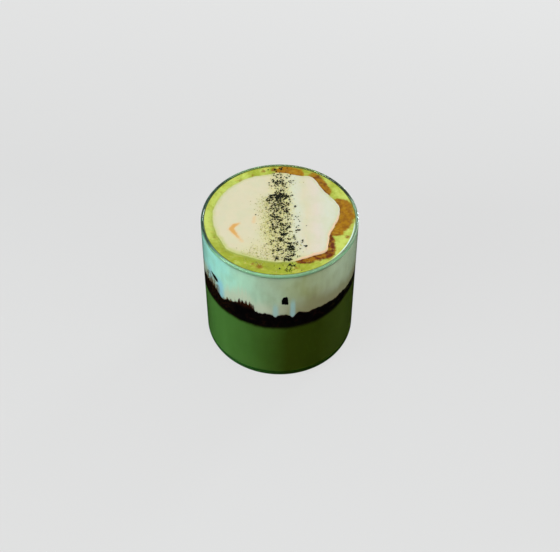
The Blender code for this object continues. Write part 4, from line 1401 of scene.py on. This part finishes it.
    def _clumps(self, centres: int, spread: float, members: float, scatter: float) -> tuple[Array, Array]:
        """Places in small clumps along the line.

        Args:
            centres: how many clumps there are.
            spread: how far the clumps lie from the line's middle, in millimetres.
            members: how many grains a clump has on top of its first.
            scatter: how far its grains lie from its middle, in millimetres.
        Returns:
            The x and y of every grain.
        """
        y = self._along(centres)
        x = self._middle(y) + self.draw.normal(0.0, spread, centres) * MM
        tally = 1 + self.draw.poisson(members, centres)
        turn = np.repeat(self.draw.uniform(0.0, math.tau, centres), tally)
        far = self.draw.normal(0.0, scatter, len(turn)) * MM
        side = self.draw.normal(0.0, 0.8 * scatter, len(turn)) * MM
        x = np.repeat(x, tally) + far * np.cos(turn) - side * np.sin(turn)
        return x, np.repeat(y, tally) + far * np.sin(turn) + side * np.cos(turn)

    def _dust(self) -> tuple[Array, Array, Array]:
        """Where the finest grains lie, and their radii."""
        x, y = self._clumps(330, spread=3.9, members=0.6, scatter=0.9)
        far_y = self.draw.uniform(*self.drift_span, self.drifted)
        far_x = self._middle(far_y) + self.draw.normal(*self.drift_off, self.drifted) * MM
        far_x = np.concatenate([far_x, self.draw.normal(*self.front_x, self.in_front)])
        far_y = np.concatenate([far_y, self.draw.normal(*self.front_y, self.in_front)])
        radius = self.draw.uniform(*self.dust_radius, len(x))
        return (np.concatenate([x, far_x]), np.concatenate([y, far_y]),
                np.concatenate([radius, self.draw.uniform(*self.drifted_radius, len(far_x))]))

    def _specks(self) -> tuple[Array, Array, Array]:
        """Where the dark specks lie, and their radii."""
        x, y = self._clumps(470, spread=3.2, members=0.45, scatter=0.8)
        return x, y, 0.00019 + 0.00028 * self.draw.random(len(x)) ** 1.6

    def _lumps(self) -> tuple[Array, Array, Array]:
        """Where the grains of the lumps lie, and their radii."""
        xs, ys, radii = [], [], []
        for x, y, spread, count in self.clusters:
            xs.append(x * MM + self.draw.normal(0.0, 0.85 * spread, count) * MM)
            ys.append(y * MM + self.draw.normal(0.0, 0.85 * spread, count) * MM)
            radii.append(self.draw.uniform(*self.lump_radius, count))
        return np.concatenate(xs), np.concatenate(ys), np.concatenate(radii)

    def _scatter(self, name: str, kind: Grain, grains: tuple[Array, Array, Array],
                 finish: PowderFinish) -> None:
        """Builds one piece from grains at these places.

        Args:
            name: the piece's name.
            kind: which shape its grains have.
            grains: the x, y and radius of each.
            finish: what they look like.
        """
        shape = self.outline
        x, y, radius = grains
        keep = np.hypot(x, y) < shape.inner - self.edge_gap_mm * MM
        x, y, radius = x[keep], y[keep], radius[keep]
        off_cap_mm = self.curves.off_cap_mm(x, y)
        level = np.where(off_cap_mm < 0.0, self.curves.cap_height(x, y), shape.surface)
        x, y, radius, level = (each[np.abs(off_cap_mm) >= self.edge_gap_mm] for each in (x, y, radius, level))
        template, faces = self._template(kind)
        count = len(x)
        turns = self._turns(count)
        sizes = radius[:, None] * self.draw.uniform(0.7, 1.25, (count, 3))
        rough = self.draw.uniform(0.8, 1.2, (count, len(template), 1))
        points = np.einsum("nij,nvj->nvi", turns, template[None] * sizes[:, None] * rough)
        points[:, :, 2] *= self.dust_flatness if kind is Grain.DUST else self.flatness
        points += np.stack([x, y, level + 0.35 * radius], axis=1)[:, None]
        sides = (faces[None] + (np.arange(count) * len(template))[:, None, None]).reshape(-1, 3)
        made = make_object(name, points.reshape(-1, 3), sides.tolist(), smooth=False)
        hold(made, shade=np.repeat(self.draw.random(count), len(template)))
        dress(made, finish.material(), "cream")

    def _turns(self, count: int) -> Array:
        """Random rotations."""
        w, x, y, z = self.draw.normal(size=(count, 4)).T
        size = np.sqrt(w * w + x * x + y * y + z * z)
        w, x, y, z = w / size, x / size, y / size, z / size
        rows = [
            [1 - 2 * (y * y + z * z), 2 * (x * y - z * w), 2 * (x * z + y * w)],
            [2 * (x * y + z * w), 1 - 2 * (x * x + z * z), 2 * (y * z - x * w)],
            [2 * (x * z - y * w), 2 * (y * z + x * w), 1 - 2 * (x * x + y * y)],
        ]
        return np.moveaxis(np.array(rows), -1, 0)

    @staticmethod
    def _template(kind: Grain) -> tuple[Array, Array]:
        """The points and triangles of one grain of this kind, of radius 1."""
        work = bmesh.new()
        if kind is Grain.DUST:
            bmesh.ops.create_cone(
                work, cap_ends=True, cap_tris=True, segments=4, radius1=1.0, radius2=0.0, depth=1.4)
        else:
            bmesh.ops.create_icosphere(work, subdivisions=1 if kind is Grain.SPECK else 2, radius=1.0)
        bmesh.ops.triangulate(work, faces=work.faces)
        points = np.array([vertex.co for vertex in work.verts])
        faces = np.array([[vertex.index for vertex in face.verts] for face in work.faces])
        work.free()
        return points, faces


@dataclass
class Studio:
    """The floor, the soft lights and the camera."""

    outline: Outline
    elevation: float = 48.16
    distance: float = 0.5698
    lens: float = 70.4
    shift: tuple[float, float] = (0.0006, -0.00895)
    floor_half: float = 4.0
    floor_drop: float = 0.00005
    sky_strength: float = 0.7

    def build(self) -> None:
        """Builds the set."""
        self._floor()
        self._world()
        self._light("key", (-1.0, -0.55, 0.5), size=0.8, power=14.5, colour=(0.84, 1.0, 0.97))
        self._light("right_fill", (0.9, -0.6, 0.4), size=0.6, power=4.0, colour=(1.0, 1.0, 0.94))
        self._light("right_strip", (0.65, 0.66, 0.36), size=0.2, power=5.0, colour=(0.85, 1.0, 1.0))
        self._camera()

    def _floor(self) -> None:
        """A plain pale floor, a hair under the glass's foot, lit from below as a light table is: most of its
        brightness is its own glow, painted a little uneven across it as uneven light.
        """
        half, z = self.floor_half, -self.floor_drop
        points = np.array([(-half, -half, z), (half, -half, z), (half, half, z), (-half, half, z)])
        floor = make_object("floor", points, [[0, 1, 2, 3]])
        paint, shader, made = new_material("pale_floor")
        place = paint.position()
        # The floor's glow, painted a little uneven across it, brightest at the back, as uneven light
        depth = paint.plus(paint.axis(place, "Y"), paint.times(paint.axis(place, "X"), 0.12))
        spread = paint.rise(depth, -0.15, 0.35, straight=True)
        glow = paint.ramp(spread, ((0.0, grey(0.685)), (0.5, grey(0.660)), (1.0, grey(0.720))))
        paint.fill(
            shader, Base_Color=grey(0.06), Emission_Color=glow, Emission_Strength=1.0, Roughness=0.9,
            Specular_IOR_Level=0.0)
        floor.data.materials.append(made)
        floor.visible_glossy = False

    def _world(self) -> None:
        """Soft light from all round and above, and none from below."""
        world = bpy.data.worlds.new("soft_box")
        bpy.context.scene.world = world
        world.use_nodes = True
        paint = Painter(world.node_tree)
        up = paint.axis(paint.node("TexCoord").outputs["Generated"], "Z")
        sky = paint.ramp(paint.rise(up, -0.2, 0.6), (
            (0.0, grey(0.0)), (0.12, grey(0.60)), (0.3, grey(1.0)), (1.0, grey(0.78))))
        paint.fill(world.node_tree.nodes["Background"], Color=sky, Strength=self.sky_strength)

    def _light(self, name: str, place: tuple[float, float, float], size: float, power: float,
               colour: Colour) -> None:
        """A square soft light that faces the glass."""
        lamp = bpy.data.lights.new(name, "AREA")
        lamp.shape = "SQUARE"
        lamp.size = size
        lamp.energy = power
        lamp.color = colour
        obj = bpy.data.objects.new(name, lamp)
        obj.location = place
        aim = np.array([0.0, 0.0, 0.5 * self.outline.height]) - np.array(place)
        tilt = math.atan2(math.hypot(aim[0], aim[1]), -aim[2])
        obj.rotation_euler = (tilt, 0.0, math.atan2(aim[1], aim[0]) - math.pi / 2)
        bpy.context.scene.collection.objects.link(obj)

    def _camera(self) -> None:
        """The camera at the photograph's angle, aimed at the glass's middle."""
        lens = bpy.data.cameras.new("camera")
        lens.lens = self.lens
        lens.sensor_width = 36.0
        lens.shift_x, lens.shift_y = self.shift
        lens.clip_start = 0.01
        obj = bpy.data.objects.new("camera", lens)
        tilt = math.radians(self.elevation)
        middle = 0.5 * self.outline.height
        obj.location = (0.0, -self.distance * math.cos(tilt), middle + self.distance * math.sin(tilt))
        obj.rotation_euler = (math.radians(90.0) - tilt, 0.0, 0.0)
        bpy.context.scene.collection.objects.link(obj)
        bpy.context.scene.camera = obj
        bpy.context.scene.view_settings.view_transform = "Standard"


def main() -> None:
    """Builds the drink from the outside in, then the studio."""
    logging.basicConfig(level=logging.INFO, format="%(message)s")
    outline = Outline.from_frame()
    curves = DrinkShape(outline)
    effects = SharedEffects()
    powder = PowderLine(outline, curves)
    GlassTumbler(outline).build(effects)
    Layers(outline, curves).build(effects)
    Cap(outline, curves).build(effects, powder)
    Film(outline, curves).build(effects)
    powder.build()
    Studio(outline).build()


if __name__ == "__main__":
    main()
